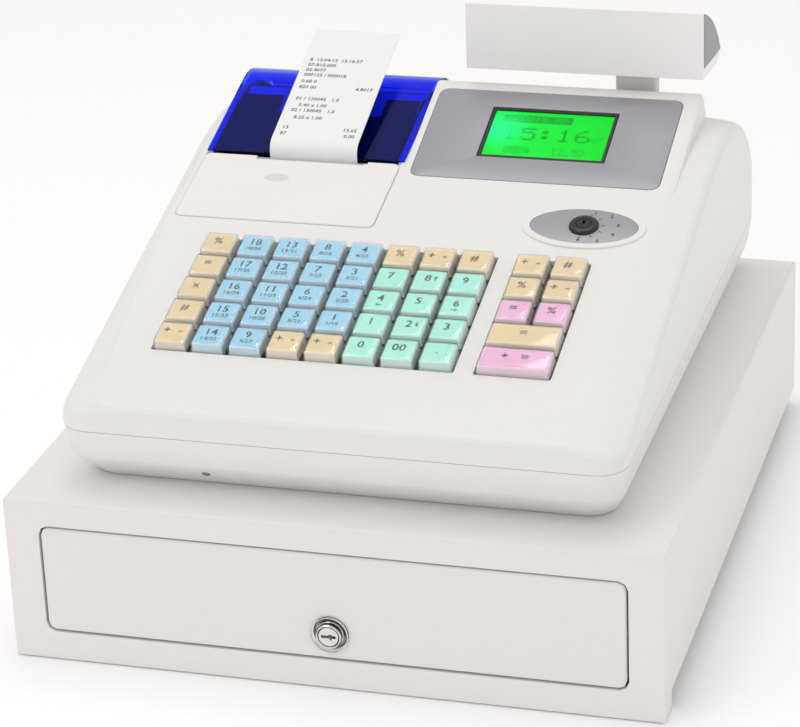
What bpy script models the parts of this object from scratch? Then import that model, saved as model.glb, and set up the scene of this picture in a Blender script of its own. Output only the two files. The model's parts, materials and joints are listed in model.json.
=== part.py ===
"""An electronic cash register on its steel cash drawer.

Sizes are in metres. The front faces -Y, +X is the operator's right and the feet stand on Z = 0.
"""

import math

import bmesh
import bpy
from mathutils import Matrix, Vector

# Clearances and shares used by every piece
seat_gap = 0.0003
running_gap = 0.0005
overrun = 0.006
round_share = 0.5
quarter = math.pi / 2

# Drawer case, folded from steel sheet
case_width = 0.400
case_depth = 0.456
case_top = 0.107
sheet = 0.0015
fold_radius = 0.0025
fold_steps = 2
skirt_depth = 0.020
skirt_clearance = 0.001
frame_side = 0.021
frame_top = 0.017
frame_bottom = 0.0193
frame_corner = 0.006
frame_return = 0.005
cable_hole_radius = 0.006
cable_hole_side = 0.120
cable_hole_height = 0.080

# Base pan and rubber feet
foot_height = 0.012
foot_top_radius = 0.012
foot_tip_radius = 0.010
foot_edge = 0.0015
foot_recess_radius = 0.004
foot_recess_depth = 0.004
foot_inset_side = 0.036
foot_inset_end = 0.042
foot_sides = 16
pan_flange = 0.010

# Drawer rails and the runners that slide in them
rail_height = 0.024
rail_level = 0.058
rail_width = 0.020
rail_front_gap = 0.004
rail_length = 0.410
runner_length = 0.108
runner_side_gap = 0.001

# Sliding drawer
drawer_gap = 0.0014
front_pan_depth = 0.010
front_edge_round = 0.0009
box_side_gap = 0.0090
box_lift = 0.0017
box_height = 0.0615
box_depth = 0.376
box_sheet = 0.0012

# Removable till tray, coin cups and note clips
till_side_gap = 0.0012
till_height = 0.054
till_wall = 0.002
till_divider = 0.0024
till_corner = 0.004
note_bays = 4
note_bay_depth = 0.184
cup_wall = 0.0022
cup_rows = 2
cup_depth = 0.030
cup_floor = 0.0022
cup_round_steps = 8
cup_fit_gap = 0.0006
clip_rod_radius = 0.0025
clip_rod_setback = 0.0085
clip_rod_drop = 0.010
clip_hub_radius = 0.0052
clip_width = 0.014
clip_reach = 0.086
clip_thickness = 0.0018
clip_steps = 9
clip_curl_share = 1.15

# Drawer lock
lock_side = 0.0005
lock_height = 0.037
lock_flange_radius = 0.0116
lock_flange_depth = 0.0014
lock_collar_radius = 0.0079
lock_collar_depth = 0.0040
lock_collar_round = 0.0008
lock_barrel_radius = 0.0086
lock_barrel_depth = 0.0036
lock_plug_radius = 0.0062
lock_plug_gap = 0.0004
keyway_length = 0.0088
keyway_width = 0.0016
keyway_depth = 0.0045
lock_tail = 0.0050
lock_tail_depth = 0.0032
cam_length = 0.0205
cam_width = 0.0090
cam_thickness = 0.0020
cam_steps = 8
lock_sides = 24

# Drawer release at the back of the case
release_width = 0.046
release_depth = 0.044
release_back_gap = 0.003
ear_thickness = 0.0015
ear_gap = 0.013
ear_height = 0.040
ear_depth = 0.018
latch_pin_radius = 0.0020
latch_pin_drop = 0.006
latch_pin_from_front = 0.010
solenoid_width = 0.024
solenoid_height = 0.024
solenoid_depth = 0.020
latch_reach = 0.0270
latch_tail = 0.007
latch_thickness = 0.004
latch_hook = 0.0080
latch_hook_width = 0.0030
latch_lift_angle = math.radians(18)
strike_reach = 0.0115
strike_width = 0.020
strike_level = 0.0265
strike_lip = 0.0140

# Register body: one moulded outline shared by the lower and the upper housing
body_width = 0.344
body_setback = 0.022
body_length = 0.427
body_wall = 0.0030
body_corner_front = 0.018
body_corner_rear = 0.010
corner_steps = 4
lip_height = 0.1605
lip_radius = 0.003
deck_angle = math.radians(14.3)
shelf_height = 0.2365
shelf_bend_run = 0.030
shelf_bend_steps = 3
back_run = 0.091
back_low = 0.154
hood_radius = 0.085
hood_slant = 0.0008
rear_steps = 5
parting_height = 0.144
left_shoulder_front = 0.0225
left_shoulder_rear = 0.0090
right_shoulder_front = 0.0260
right_shoulder_rear = 0.0235
shoulder_run = 0.186
shoulder_drop_front = 0.0078
shoulder_drop_rear = 0.0020
shoulder_radius_front = 0.0042
shoulder_radius_rear = 0.0060
shoulder_fade_run = 0.300
shoulder_steps = 3
fold_height = 0.127
fold_drop = 0.005
fold_insets = (0.0025, 0.0020, 0.0010)
under_insets = (0.0040, 0.0060, 0.0020)
waist_insets = (0.0110, 0.0215, 0.0050)
body_floor = 0.0025
boss_side = 0.147
boss_front = 0.034
boss_rear = 0.019
boss_radius = 0.004
boss_bury = 0.0024
boss_sides = 12

# Keyboard, laid out on the sloping deck
key_pitch = 0.0236
key_row_pitch = 0.0232
first_column = -0.1186
first_row = 0.0680
function_column = 0.0816
key_columns = 8
function_columns = 2
key_rows = 5
key_top = 0.0184
key_top_length = 0.0180
key_base = 0.0214
key_corner = 0.0012
key_rise = 0.0060
key_sink = 0.0020
key_edge = 0.0008
key_wall = 0.0014
key_ceiling = 0.0016
key_stem = 0.0064
key_stem_length = 0.0130
key_hole_gap = 0.0004
key_travel = 0.0035
window_margin = 0.0010
window_corner = 0.0015
plate_thickness = 0.0020
plate_margin = 0.0040
plate_rim = 0.0020
number_names = (("0", "00", "point"), ("1", "2", "3"), ("4", "5", "6"), ("7", "8", "9"))
first_number_column = 5

# Operator display
display_left = -0.026
display_right = 0.153
display_setback = 0.244
display_angle = math.radians(18.9)
display_length = 0.106
display_back_run = 0.006
display_back_drop = 0.014
display_bury = 0.030
display_lap = 0.004
display_round = 0.0030
bezel_low = 0.0045
bezel_length = 0.0910
bezel_left = -0.0201
bezel_right = 0.1420
bezel_thickness = 0.0012
bezel_corner = 0.0060
bezel_gap = 0.0004
lcd_left = 0.0188
lcd_right = 0.1027
lcd_low = 0.0276
lcd_length = 0.0516
lcd_recess = 0.0006
lcd_flange = 0.004
lcd_depth = 0.008

# Mode switch
mode_side = 0.1040
mode_along = 0.2090
mode_plate_width = 0.0690
mode_plate_length = 0.0360
mode_ring_width = 0.0045
mode_ring_rise = 0.0012
mode_plate_rise = 0.0003
mode_sides = 32
mode_lock_radius = 0.0095
mode_lock_rise = 0.0036
mode_lock_depth = 0.018
mode_lock_round = 0.0009
mode_collar_wall = 0.0022
mode_collar_depth = 0.012
mode_keyway_length = 0.0070

# Receipt printer under the left of the deck
bay_left = -0.1600
bay_right = -0.0285
bay_lap = 0.0024
cover_low = 0.1936
cover_high = 0.2640
cover_thickness = 0.0022
cover_sink = 0.0014
cover_corner = 0.0045
cover_edge_round = 0.0006
cover_skirt_drop = 0.0060
cover_skirt_inset = 0.0056
cover_scoop_width = 0.075
cover_scoop_depth = 0.0050
window_left = -0.1606
window_right = -0.0266
window_front = 0.2615
window_rise = 0.0010
window_arc_radius = 0.040
window_arc_setback = 0.3519
window_arc_height = 0.2118
window_end_angle = math.radians(34)
window_web_angle = math.radians(20)
window_wall = 0.0022
window_arc_steps = 7
hinge_angle = math.radians(19.54)
hinge_offset = 0.00096
hinge_clearance = 0.0009
hinge_radius = 0.0030
hinge_pin_radius = 0.0016
hinge_end_gap = 0.0005
hinge_sides = 12
roll_setback = 0.330
roll_height = 0.200
roll_radius = 0.036
roll_core_radius = 0.0065
roll_sides = 32
trough_gap = 0.0012
trough_steps = 10
paper_middle = -0.0875
paper_width = 0.0590
tub_wall = 0.0020
tub_sink = 0.0022
tub_side_gap = 0.0004
tub_floor = 0.178
tub_floor_length = 0.080
tub_ridge_gap = 0.004
hinge_room = 0.006
head_width = 0.084
head_depth = 0.034
head_height = 0.028
motor_radius = 0.0095
motor_length = 0.016
tear_bar_height = 0.018
tear_bar_thickness = 0.0012
tear_bar_width = 0.066
platen_setback = 0.2670
platen_height = 0.2165
platen_radius = 0.0065
platen_shaft_radius = 0.0020
platen_length = 0.0620
platen_lug_thickness = 0.0030
platen_lug_gap = 0.0010
platen_lug_drop = 0.0040
platen_lug_half = 0.0050
gear_teeth = 16
gear_radius = 0.0062
gear_tooth = 0.0016
gear_width = 0.0045
gear_root_share = 0.32
gear_tip_share = 0.18
receipt_thickness = 0.0003
receipt_bend_height = 0.2295
receipt_bend_radius = 0.008
receipt_lean = math.radians(20.8)
receipt_length = 0.1135
receipt_bend_steps = 6

# Rear customer display
post_side = 0.1062
post_setback = 0.3580
post_width = 0.0272
post_depth = 0.0120
post_low = 0.165
post_gap = 0.0005
post_corner = 0.0020
post_sleeve_wall = 0.0022
post_sleeve_depth = 0.030
spigot_radius = 0.0050
spigot_height = 0.010
head_left = -0.0040
head_right = 0.1535
head_setback = 0.3380
head_low = 0.2665
head_rise = 0.0445
head_run = 0.0460
head_tray_rise = 0.0068
head_tray_slope = 0.0100
head_bulge = 0.0064
head_steps = 8
head_wall = 0.0024
head_flare = 0.0030
head_glass = 0.0020

# Parts inside the body
board_low_side = -0.020
board_high_side = 0.140
board_front = 0.240
board_thickness = 0.0016
board_stand = 0.006
board_stand_radius = 0.003
board_stand_inset = 0.008
jack_width = 0.016
jack_height = 0.013
jack_depth = 0.018
jack_hole = 0.009
jack_sides = (0.030, 0.060)
jack_wall_gap = 0.0004
chip_size = 0.018
chip_height = 0.003
chip_places = ((0.010, 0.300), (0.075, 0.330))
core_width = 0.060
core_depth = 0.026
core_height = 0.040
coil_width = 0.038
coil_depth = 0.046
coil_height = 0.026
core_side = -0.095
core_setback = 0.300
inlet_side = -0.100
inlet_height = 0.127
inlet_width = 0.028
inlet_rise = 0.020
inlet_depth = 0.022
inlet_flange = 0.003
inlet_flange_depth = 0.0016
inlet_recess = 0.0030
inlet_recess_depth = 0.014
inlet_pin_width = 0.002
inlet_pin_height = 0.004
inlet_pin_spacing = 0.007
inlet_pin_length = 0.009

# Colours as red, green, blue, then roughness and metallic share
white_plastic = ((0.80, 0.78, 0.75), 0.35, 0.0)
white_paint = ((0.78, 0.76, 0.74), 0.45, 0.0)
grey_plastic = ((0.42, 0.42, 0.45), 0.40, 0.0)
dark_plastic = ((0.03, 0.03, 0.035), 0.45, 0.0)
black_rubber = ((0.02, 0.02, 0.02), 0.80, 0.0)
zinc_steel = ((0.60, 0.61, 0.62), 0.35, 0.9)
chrome = ((0.75, 0.75, 0.76), 0.12, 1.0)
clear_blue = ((0.02, 0.05, 0.55), 0.10, 0.0)
smoke_grey = ((0.30, 0.30, 0.33), 0.15, 0.0)
lcd_green = ((0.05, 0.75, 0.12), 0.25, 0.0)
paper_white = ((0.90, 0.90, 0.88), 0.70, 0.0)
board_green = ((0.04, 0.20, 0.08), 0.50, 0.0)
key_cream = ((0.95, 0.72, 0.35), 0.30, 0.0)
key_mint = ((0.30, 0.80, 0.62), 0.30, 0.0)
key_pink = ((0.92, 0.45, 0.72), 0.30, 0.0)
key_blue = ((0.25, 0.58, 0.88), 0.30, 0.0)
wide_keys = (("key_cash", key_pink), ("key_subtotal", key_cream))
function_looks = (key_pink, key_cream, key_cream)

# Places worked out from the sizes above
front_face = -case_depth / 2
rear_face = case_depth / 2
case_half = case_width / 2
opening_half = case_half - frame_side
opening_top = case_top - frame_top
pan_top = foot_height + sheet
drawer_half = opening_half - drawer_gap
drawer_low = frame_bottom + drawer_gap
drawer_high = opening_top - drawer_gap
box_half = opening_half - box_side_gap
box_low = drawer_low + box_lift
box_front = front_face + front_pan_depth + seat_gap
box_rear = box_front + box_depth
till_half = box_half - box_sheet - till_side_gap
till_low = box_low + box_sheet + seat_gap
till_front = box_front + box_sheet + till_side_gap
till_rear = box_rear - box_sheet - till_side_gap
till_floor = till_low + till_wall
coin_rear = till_rear - till_wall - note_bay_depth - till_divider
rod_y = till_rear - clip_rod_setback
rod_z = till_low + till_height - clip_rod_drop
body_front = front_face + body_setback
body_rear = body_front + body_length
body_low = case_top + seat_gap
lip_y = body_front + lip_radius
deck_frame = Matrix.Translation((0, lip_y, lip_height)) @ Matrix.Rotation(deck_angle, 4, "X")
receipt_front = body_front + platen_setback - platen_radius - seat_gap - receipt_thickness
bay_front_y = (deck_frame @ Vector((0, cover_low + bay_lap, 0))).y
hinge_reach = window_arc_radius + hinge_offset
hinge_y = body_front + window_arc_setback + hinge_reach * math.cos(hinge_angle)
hinge_z = window_arc_height + hinge_reach * math.sin(hinge_angle)
tub_end = hinge_y + hinge_radius + hinge_clearance + tub_wall
tub_ridge = platen_height - platen_radius - tub_ridge_gap


def deck_level(y):
    """Height of the deck plane above a place along the body."""
    return lip_height + (y - lip_y) * math.tan(deck_angle)


display_y = body_front + display_setback
display_frame = Matrix.Translation((0, display_y, deck_level(display_y))) @ Matrix.Rotation(
    display_angle, 4, "X"
)


# Shapes


def arc(centre, radius, start, end, steps):
    """Points along an arc, ends included."""
    points = []
    for step in range(steps + 1):
        angle = start + (end - start) * step / steps
        points.append((centre[0] + radius * math.cos(angle), centre[1] + radius * math.sin(angle)))
    return points


def circle(centre, radius, sides):
    return arc(centre, radius, 0, 4 * quarter, sides)[:-1]


def ellipse(centre, width, length, sides):
    return [
        (centre[0] + x * width / 2, centre[1] + y * length / 2) for x, y in circle((0, 0), 1, sides)
    ]


def rounded_rectangle(low, high, radius, steps=2):
    """A rectangle between two corners with round corners."""
    middles = (
        (high[0] - radius, high[1] - radius),
        (low[0] + radius, high[1] - radius),
        (low[0] + radius, low[1] + radius),
        (high[0] - radius, low[1] + radius),
    )
    points = []
    for turn, middle in enumerate(middles):
        points += arc(middle, radius, turn * quarter, (turn + 1) * quarter, steps)
    return points


def placed_ring(outline, axis, along):
    """An outline's points in space: they hold the two coordinates other than the axis, in order."""
    ring = []
    for point in outline:
        place = list(point)
        place.insert(axis, along)
        ring.append(place)
    return ring


def loft(rings, closed=False):
    """Skin rings of equal length and cap the ends, or join the last ring to the first."""
    shape = bmesh.new()
    rows = [[shape.verts.new(point) for point in ring] for ring in rings]
    pairs = list(zip(rows, rows[1:]))
    if closed:
        pairs.append((rows[-1], rows[0]))
    else:
        shape.faces.new(reversed(rows[0]))
        shape.faces.new(rows[-1])
    for lower, upper in pairs:
        for index, vert in enumerate(lower):
            after = (index + 1) % len(lower)
            shape.faces.new((vert, lower[after], upper[after], upper[index]))
    return shape


def prism(outline, axis, low, high):
    return loft([placed_ring(outline, axis, along) for along in (low, high)])


def revolve(profile, axis, centre, sides, closed=False):
    """Turn a profile of (radius, place along the axis) about an axis through the centre."""
    rings = [placed_ring(circle(centre, radius, sides), axis, along) for radius, along in profile]
    return loft(rings, closed)


def box(low, high):
    corners = [(low[0], low[1]), (high[0], low[1]), (high[0], high[1]), (low[0], high[1])]
    return prism(corners, 2, low[2], high[2])


def cylinder(axis, centre, radius, low, high, sides):
    return revolve([(radius, low), (radius, high)], axis, centre, sides)


def together(shapes):
    """Several shapes in one mesh."""
    joined = bmesh.new()
    for shape in shapes:
        part = bpy.data.meshes.new("part")
        shape.to_mesh(part)
        shape.free()
        joined.from_mesh(part)
        bpy.data.meshes.remove(part)
    return joined


def moved(shape, matrix):
    bmesh.ops.transform(shape, matrix=matrix, verts=shape.verts)
    return shape


def round_edges(shape, radius, steps, chosen):
    """Round the edges whose two ends pass the test."""
    edges = [edge for edge in shape.edges if chosen(edge.verts[0].co, edge.verts[1].co)]
    bmesh.ops.bevel(
        shape, geom=edges, offset=radius, segments=steps, profile=round_share, affect="EDGES"
    )
    return shape


# Objects


def finish(name, look):
    colour, roughness, metallic = look
    material = bpy.data.materials.new(name)
    material.use_nodes = True
    inputs = material.node_tree.nodes["Principled BSDF"].inputs
    inputs["Base Color"].default_value = (*colour, 1)
    inputs["Roughness"].default_value = roughness
    inputs["Metallic"].default_value = metallic
    return material


def new_object(name, shape, look, parent=None, origin=(0, 0, 0)):
    """A named piece with its own material and its origin at the given place."""
    moved(shape, Matrix.Translation(-Vector(origin)))
    bmesh.ops.recalc_face_normals(shape, faces=shape.faces)
    mesh = bpy.data.meshes.new(name)
    shape.to_mesh(mesh)
    shape.free()
    mesh.materials.append(finish(name + "_finish", look))
    piece = bpy.data.objects.new(name, mesh)
    piece.location = origin
    piece.parent = parent
    bpy.context.scene.collection.objects.link(piece)
    return piece


def smooth(piece, angle):
    piece.data.shade_smooth()
    piece.data.set_sharp_from_angle(angle=angle)
    return piece


def use_tool(piece, shape, operation):
    """Cut a shape from a piece, or fuse it on. The shape is given where the piece's own was."""
    moved(shape, Matrix.Translation(-piece.location))
    bmesh.ops.recalc_face_normals(shape, faces=shape.faces)
    name = f"{piece.name}_tool_{len(piece.modifiers)}"
    mesh = bpy.data.meshes.new(name)
    shape.to_mesh(mesh)
    shape.free()
    tool = bpy.data.objects.new(name, mesh)
    tool.parent = piece
    tool.hide_render = True
    tool.display_type = "WIRE"
    bpy.context.scene.collection.objects.link(tool)
    modifier = piece.modifiers.new(name, "BOOLEAN")
    modifier.operation = operation
    modifier.solver = "EXACT"
    modifier.object = tool


def cut(piece, *shapes):
    use_tool(piece, together(shapes), "DIFFERENCE")


def fuse(piece, shape):
    use_tool(piece, shape, "UNION")


def empty(name, matrix):
    frame = bpy.data.objects.new(name, None)
    frame.matrix_world = matrix
    bpy.context.scene.collection.objects.link(frame)
    return frame


# Drawer case, pan, feet and rails


def make_drawer_case():
    """One folded cover with a deep front frame and an open bottom."""
    side_view = [
        (front_face, skirt_clearance),
        (front_face + skirt_depth, skirt_clearance),
        (front_face + skirt_depth, foot_height),
        (rear_face, foot_height),
        (rear_face, case_top),
        (front_face, case_top),
    ]

    def folded(a, b):
        upright = a.y == b.y and a.x == b.x and abs(a.y) == rear_face
        on_top = a.z > pan_top and b.z > pan_top
        return on_top or upright

    rear_face_set = round_edges(
        prism(side_view, 0, -case_half, case_half), fold_radius, fold_steps, folded
    )
    case = new_object("drawer_case", rear_face_set, white_paint)
    inside = case_half - sheet
    cut(case, box((-inside, front_face + sheet, -overrun), (inside, rear_face - sheet, case_top - sheet)))
    low = (-opening_half, frame_bottom)
    high = (opening_half, opening_top)
    around = rounded_rectangle(
        (low[0] - sheet, low[1] - sheet), (high[0] + sheet, high[1] + sheet), frame_corner + sheet
    )
    fuse(case, prism(around, 1, front_face + sheet / 2, front_face + frame_return))
    edge = rounded_rectangle(low, high, frame_corner)
    opening = prism(edge, 1, front_face - overrun, front_face + frame_return + overrun)
    cable_hole = cylinder(
        1,
        (cable_hole_side, cable_hole_height),
        cable_hole_radius,
        rear_face - sheet - overrun,
        rear_face + overrun,
        lock_sides,
    )
    cut(case, opening, cable_hole)


def make_base_pan():
    half = case_half - sheet - seat_gap
    level = foot_height
    outline = [
        (-half, level),
        (half, level),
        (half, level + pan_flange),
        (half - sheet, level + pan_flange),
        (half - sheet, pan_top),
        (-half + sheet, pan_top),
        (-half + sheet, level + pan_flange),
        (-half, level + pan_flange),
    ]
    low = front_face + sheet + seat_gap
    high = rear_face - sheet - seat_gap
    new_object("base_pan", prism(outline, 1, low, high), zinc_steel)


def make_feet():
    """Tapered rubber feet with a screw recess below."""
    top = foot_height - seat_gap
    profile = [
        (foot_recess_radius, foot_recess_depth),
        (foot_recess_radius, 0),
        (foot_tip_radius - foot_edge, 0),
        (foot_tip_radius, foot_edge),
        (foot_top_radius, top),
    ]
    for end, y in (("front", front_face + foot_inset_end), ("rear", rear_face - foot_inset_end)):
        for side, x in (("left", -case_half + foot_inset_side), ("right", case_half - foot_inset_side)):
            shape = revolve(profile, 2, (x, y), foot_sides)
            foot = new_object(f"foot_{end}_{side}", shape, black_rubber, origin=(x, y, 0))
            smooth(foot, quarter / 2)


def channel(outer, inner, level, height, wall, side):
    """A channel's cross-section with its web at the outer face and its mouth inwards."""
    low = level - height / 2
    high = level + height / 2
    points = [
        (outer, low),
        (outer, high),
        (inner, high),
        (inner, high - wall),
        (outer - wall, high - wall),
        (outer - wall, low + wall),
        (inner, low + wall),
        (inner, low),
    ]
    return [(side * x, z) for x, z in points]


def make_rails():
    outer = case_half - sheet - seat_gap
    low = front_face + frame_return + rail_front_gap
    for name, side in (("rail_left", -1), ("rail_right", 1)):
        outline = channel(outer, outer - rail_width, rail_level, rail_height, sheet, side)
        new_object(name, prism(outline, 1, low, low + rail_length), zinc_steel)


# Drawer


def make_drawer_box(drawer):
    """Steel tray with channel runners on both sides and a latch strike behind."""
    shape = box((-box_half, box_front, box_low), (box_half, box_rear, box_low + box_height))
    tray = new_object("drawer_box", shape, zinc_steel, drawer)
    runner_outer = case_half - sheet - seat_gap - sheet - runner_side_gap
    runner_height = rail_height - 2 * (sheet + running_gap)
    runner_front = box_rear - runner_length
    for side in (-1, 1):
        outline = channel(
            runner_outer, box_half - box_sheet / 2, rail_level, runner_height, sheet, side
        )
        fuse(tray, prism(outline, 1, runner_front, box_rear))
    lip_back = box_rear + strike_reach
    strike = [
        (box_rear - box_sheet / 2, strike_level - sheet),
        (lip_back, strike_level - sheet),
        (lip_back, strike_level + strike_lip),
        (lip_back - sheet, strike_level + strike_lip),
        (lip_back - sheet, strike_level),
        (box_rear - box_sheet / 2, strike_level),
    ]
    fuse(tray, prism(strike, 0, -strike_width / 2, strike_width / 2))
    inside = box_half - box_sheet
    top = box_low + box_height + overrun
    low = (-inside, box_front + box_sheet, box_low + box_sheet)
    cut(tray, box(low, (inside, box_rear - box_sheet, top)))


def make_drawer_front(drawer):
    """Pressed front pan with rounded corners, a lock hole and a slot for the lock's cam."""
    outline = rounded_rectangle(
        (-drawer_half, drawer_low), (drawer_half, drawer_high), frame_corner - drawer_gap
    )
    shape = prism(outline, 1, front_face, front_face + front_pan_depth)

    def on_face(a, b):
        return a.y == b.y and a.y < box_front - front_pan_depth / 2

    shape = round_edges(shape, front_edge_round, 1, on_face)
    front = new_object("drawer_front", shape, white_paint, drawer)
    hollow = rounded_rectangle(
        (-drawer_half + sheet, drawer_low + sheet),
        (drawer_half - sheet, drawer_high - sheet),
        frame_corner - drawer_gap - sheet,
    )
    cut(front, prism(hollow, 1, front_face + sheet, front_face + front_pan_depth + overrun))
    barrel_hole = cylinder(
        1,
        (lock_side, lock_height),
        lock_barrel_radius + seat_gap,
        front_face - overrun,
        front_face + sheet + sheet / 2,
        lock_sides,
    )
    slot = box(
        (lock_side - cam_width, cam_front() - running_gap, drawer_low - overrun),
        (lock_side + cam_length, front_face + front_pan_depth + overrun, drawer_low + 2 * sheet),
    )
    cut(front, barrel_hole, slot)


def make_till_tray(drawer):
    """Moulded tray: note bays behind, and a well for the coin cups in front."""
    top = till_low + till_height
    shape = box((-till_half, till_front, till_low), (till_half, till_rear, top))
    tray = new_object("till_tray", shape, dark_plastic, drawer)
    inside = till_half - till_wall
    bay_width = (2 * inside - (note_bays - 1) * till_divider) / note_bays
    bays = []
    for bay in range(note_bays):
        low = -inside + bay * (bay_width + till_divider)
        outline = rounded_rectangle(
            (low, till_rear - till_wall - note_bay_depth),
            (low + bay_width, till_rear - till_wall),
            till_corner,
        )
        bays.append(prism(outline, 2, till_floor, top + overrun))
    well = rounded_rectangle((-inside, till_front + till_wall), (inside, coin_rear), till_corner)
    bays.append(prism(well, 2, till_floor, top + overrun))
    cut(tray, *bays)
    hole = clip_rod_radius + seat_gap
    cut(tray, cylinder(0, (rod_y, rod_z), hole, -till_half - overrun, till_half + overrun, boss_sides))


def make_coin_tray(drawer):
    """Two rows of scooped coin cups in one removable moulding."""
    half = till_half - till_wall - cup_fit_gap
    low_y = till_front + till_wall + cup_fit_gap
    high_y = coin_rear - cup_fit_gap
    low_z = till_floor + seat_gap
    top = low_z + cup_floor + cup_depth
    outline = rounded_rectangle((-half, low_y), (half, high_y), till_corner)
    tray = new_object("coin_tray", prism(outline, 2, low_z, top), dark_plastic, drawer)
    width = (2 * half - (note_bays + 1) * cup_wall) / note_bays
    length = (high_y - low_y - (cup_rows + 1) * cup_wall) / cup_rows
    radius = (length * length / 4 + cup_depth * cup_depth) / (2 * cup_depth)
    spread = math.asin(length / 2 / radius)
    scoops = []
    for row in range(cup_rows):
        middle = low_y + cup_wall + length / 2 + row * (length + cup_wall)
        curve = arc(
            (middle, low_z + cup_floor + radius),
            radius,
            -quarter - spread,
            -quarter + spread,
            cup_round_steps,
        )
        curve += [(middle + length / 2, top + overrun), (middle - length / 2, top + overrun)]
        for column in range(note_bays):
            left = -half + cup_wall + column * (width + cup_wall)
            scoops.append(prism(curve, 0, left, left + width))
    cut(tray, *scoops)


def clip_outline():
    """A sprung arm seen from the side: it drops to the notes and curls up at its tip."""
    drop = rod_z - till_floor - seat_gap - clip_thickness / 2
    upper = []
    lower = []
    for step in range(clip_steps + 1):
        share = step / clip_steps
        y = rod_y - clip_reach * share
        z = rod_z - drop * math.sin(quarter * clip_curl_share * share)
        upper.append((y, z + clip_thickness / 2))
        lower.append((y, z - clip_thickness / 2))
    return upper + lower[::-1]


def make_note_clips(drawer):
    half = till_half - seat_gap
    rod = cylinder(0, (rod_y, rod_z), clip_rod_radius, -half, half, boss_sides)
    smooth(new_object("clip_rod", rod, zinc_steel, drawer, (0, rod_y, rod_z)), quarter / 2)
    inside = till_half - till_wall
    bay_width = (2 * inside - (note_bays - 1) * till_divider) / note_bays
    for bay in range(note_bays):
        x = -inside + bay_width / 2 + bay * (bay_width + till_divider)
        low = x - clip_width / 2
        high = x + clip_width / 2
        origin = (x, rod_y, rod_z)
        shape = cylinder(0, (rod_y, rod_z), clip_hub_radius, low, high, boss_sides)
        clip = new_object(f"note_clip_{bay + 1}", shape, dark_plastic, drawer, origin)
        fuse(clip, prism(clip_outline(), 0, low, high))
        bore = clip_rod_radius + seat_gap
        cut(clip, cylinder(0, (rod_y, rod_z), bore, low - overrun, high + overrun, boss_sides))


def cam_front():
    """Where the cam turns, just behind the frame's return."""
    return front_face + frame_return + running_gap + seat_gap


def make_drawer_lock(drawer):
    """Chrome lock: a fixed collar, a turning plug and the cam on the plug's tail."""
    centre = (lock_side, lock_height)
    back = front_face + sheet + lock_barrel_depth
    flange = front_face - seat_gap
    bore = lock_plug_radius + lock_plug_gap
    profile = [
        (lock_barrel_radius, back),
        (lock_barrel_radius, flange),
        (lock_flange_radius, flange),
        (lock_flange_radius, flange - lock_flange_depth / 2),
        (lock_flange_radius - lock_flange_depth, flange - lock_flange_depth),
        (lock_collar_radius, flange - lock_flange_depth),
        (lock_collar_radius, flange - lock_collar_depth + lock_collar_round),
        (lock_collar_radius - lock_collar_round, flange - lock_collar_depth),
        (bore, flange - lock_collar_depth),
        (bore, back),
    ]
    origin = (lock_side, front_face, lock_height)
    collar = revolve(profile, 1, centre, lock_sides, closed=True)
    smooth(new_object("lock_collar", collar, chrome, drawer, origin), quarter / 2)

    face = flange - lock_collar_depth + seat_gap
    plug = new_object(
        "lock_plug", cylinder(1, centre, lock_plug_radius, face, back, lock_sides), chrome, drawer, origin
    )
    tail = lock_tail / 2
    tail_end = back + lock_tail_depth
    fuse(
        plug,
        box(
            (lock_side - tail, back - sheet, lock_height - tail),
            (lock_side + tail, tail_end, lock_height + tail),
        ),
    )
    cut(
        plug,
        box(
            (lock_side - keyway_length / 2, face - overrun, lock_height - keyway_width / 2),
            (lock_side + keyway_length / 2, face + keyway_depth, lock_height + keyway_width / 2),
        ),
    )
    smooth(plug, quarter / 2)

    low = cam_front()
    radius = cam_width / 2
    near = arc(centre, radius, quarter, 3 * quarter, cam_steps)
    far = arc((lock_side + cam_length - radius, lock_height), radius, -quarter, quarter, cam_steps)
    cam = new_object(
        "lock_cam", prism(near + far, 1, low, low + cam_thickness), zinc_steel, drawer, origin
    )
    hole = tail + seat_gap
    cut(
        cam,
        box(
            (lock_side - hole, low - overrun, lock_height - hole),
            (lock_side + hole, low + cam_thickness + overrun, lock_height + hole),
        ),
    )


# Drawer release


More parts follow.
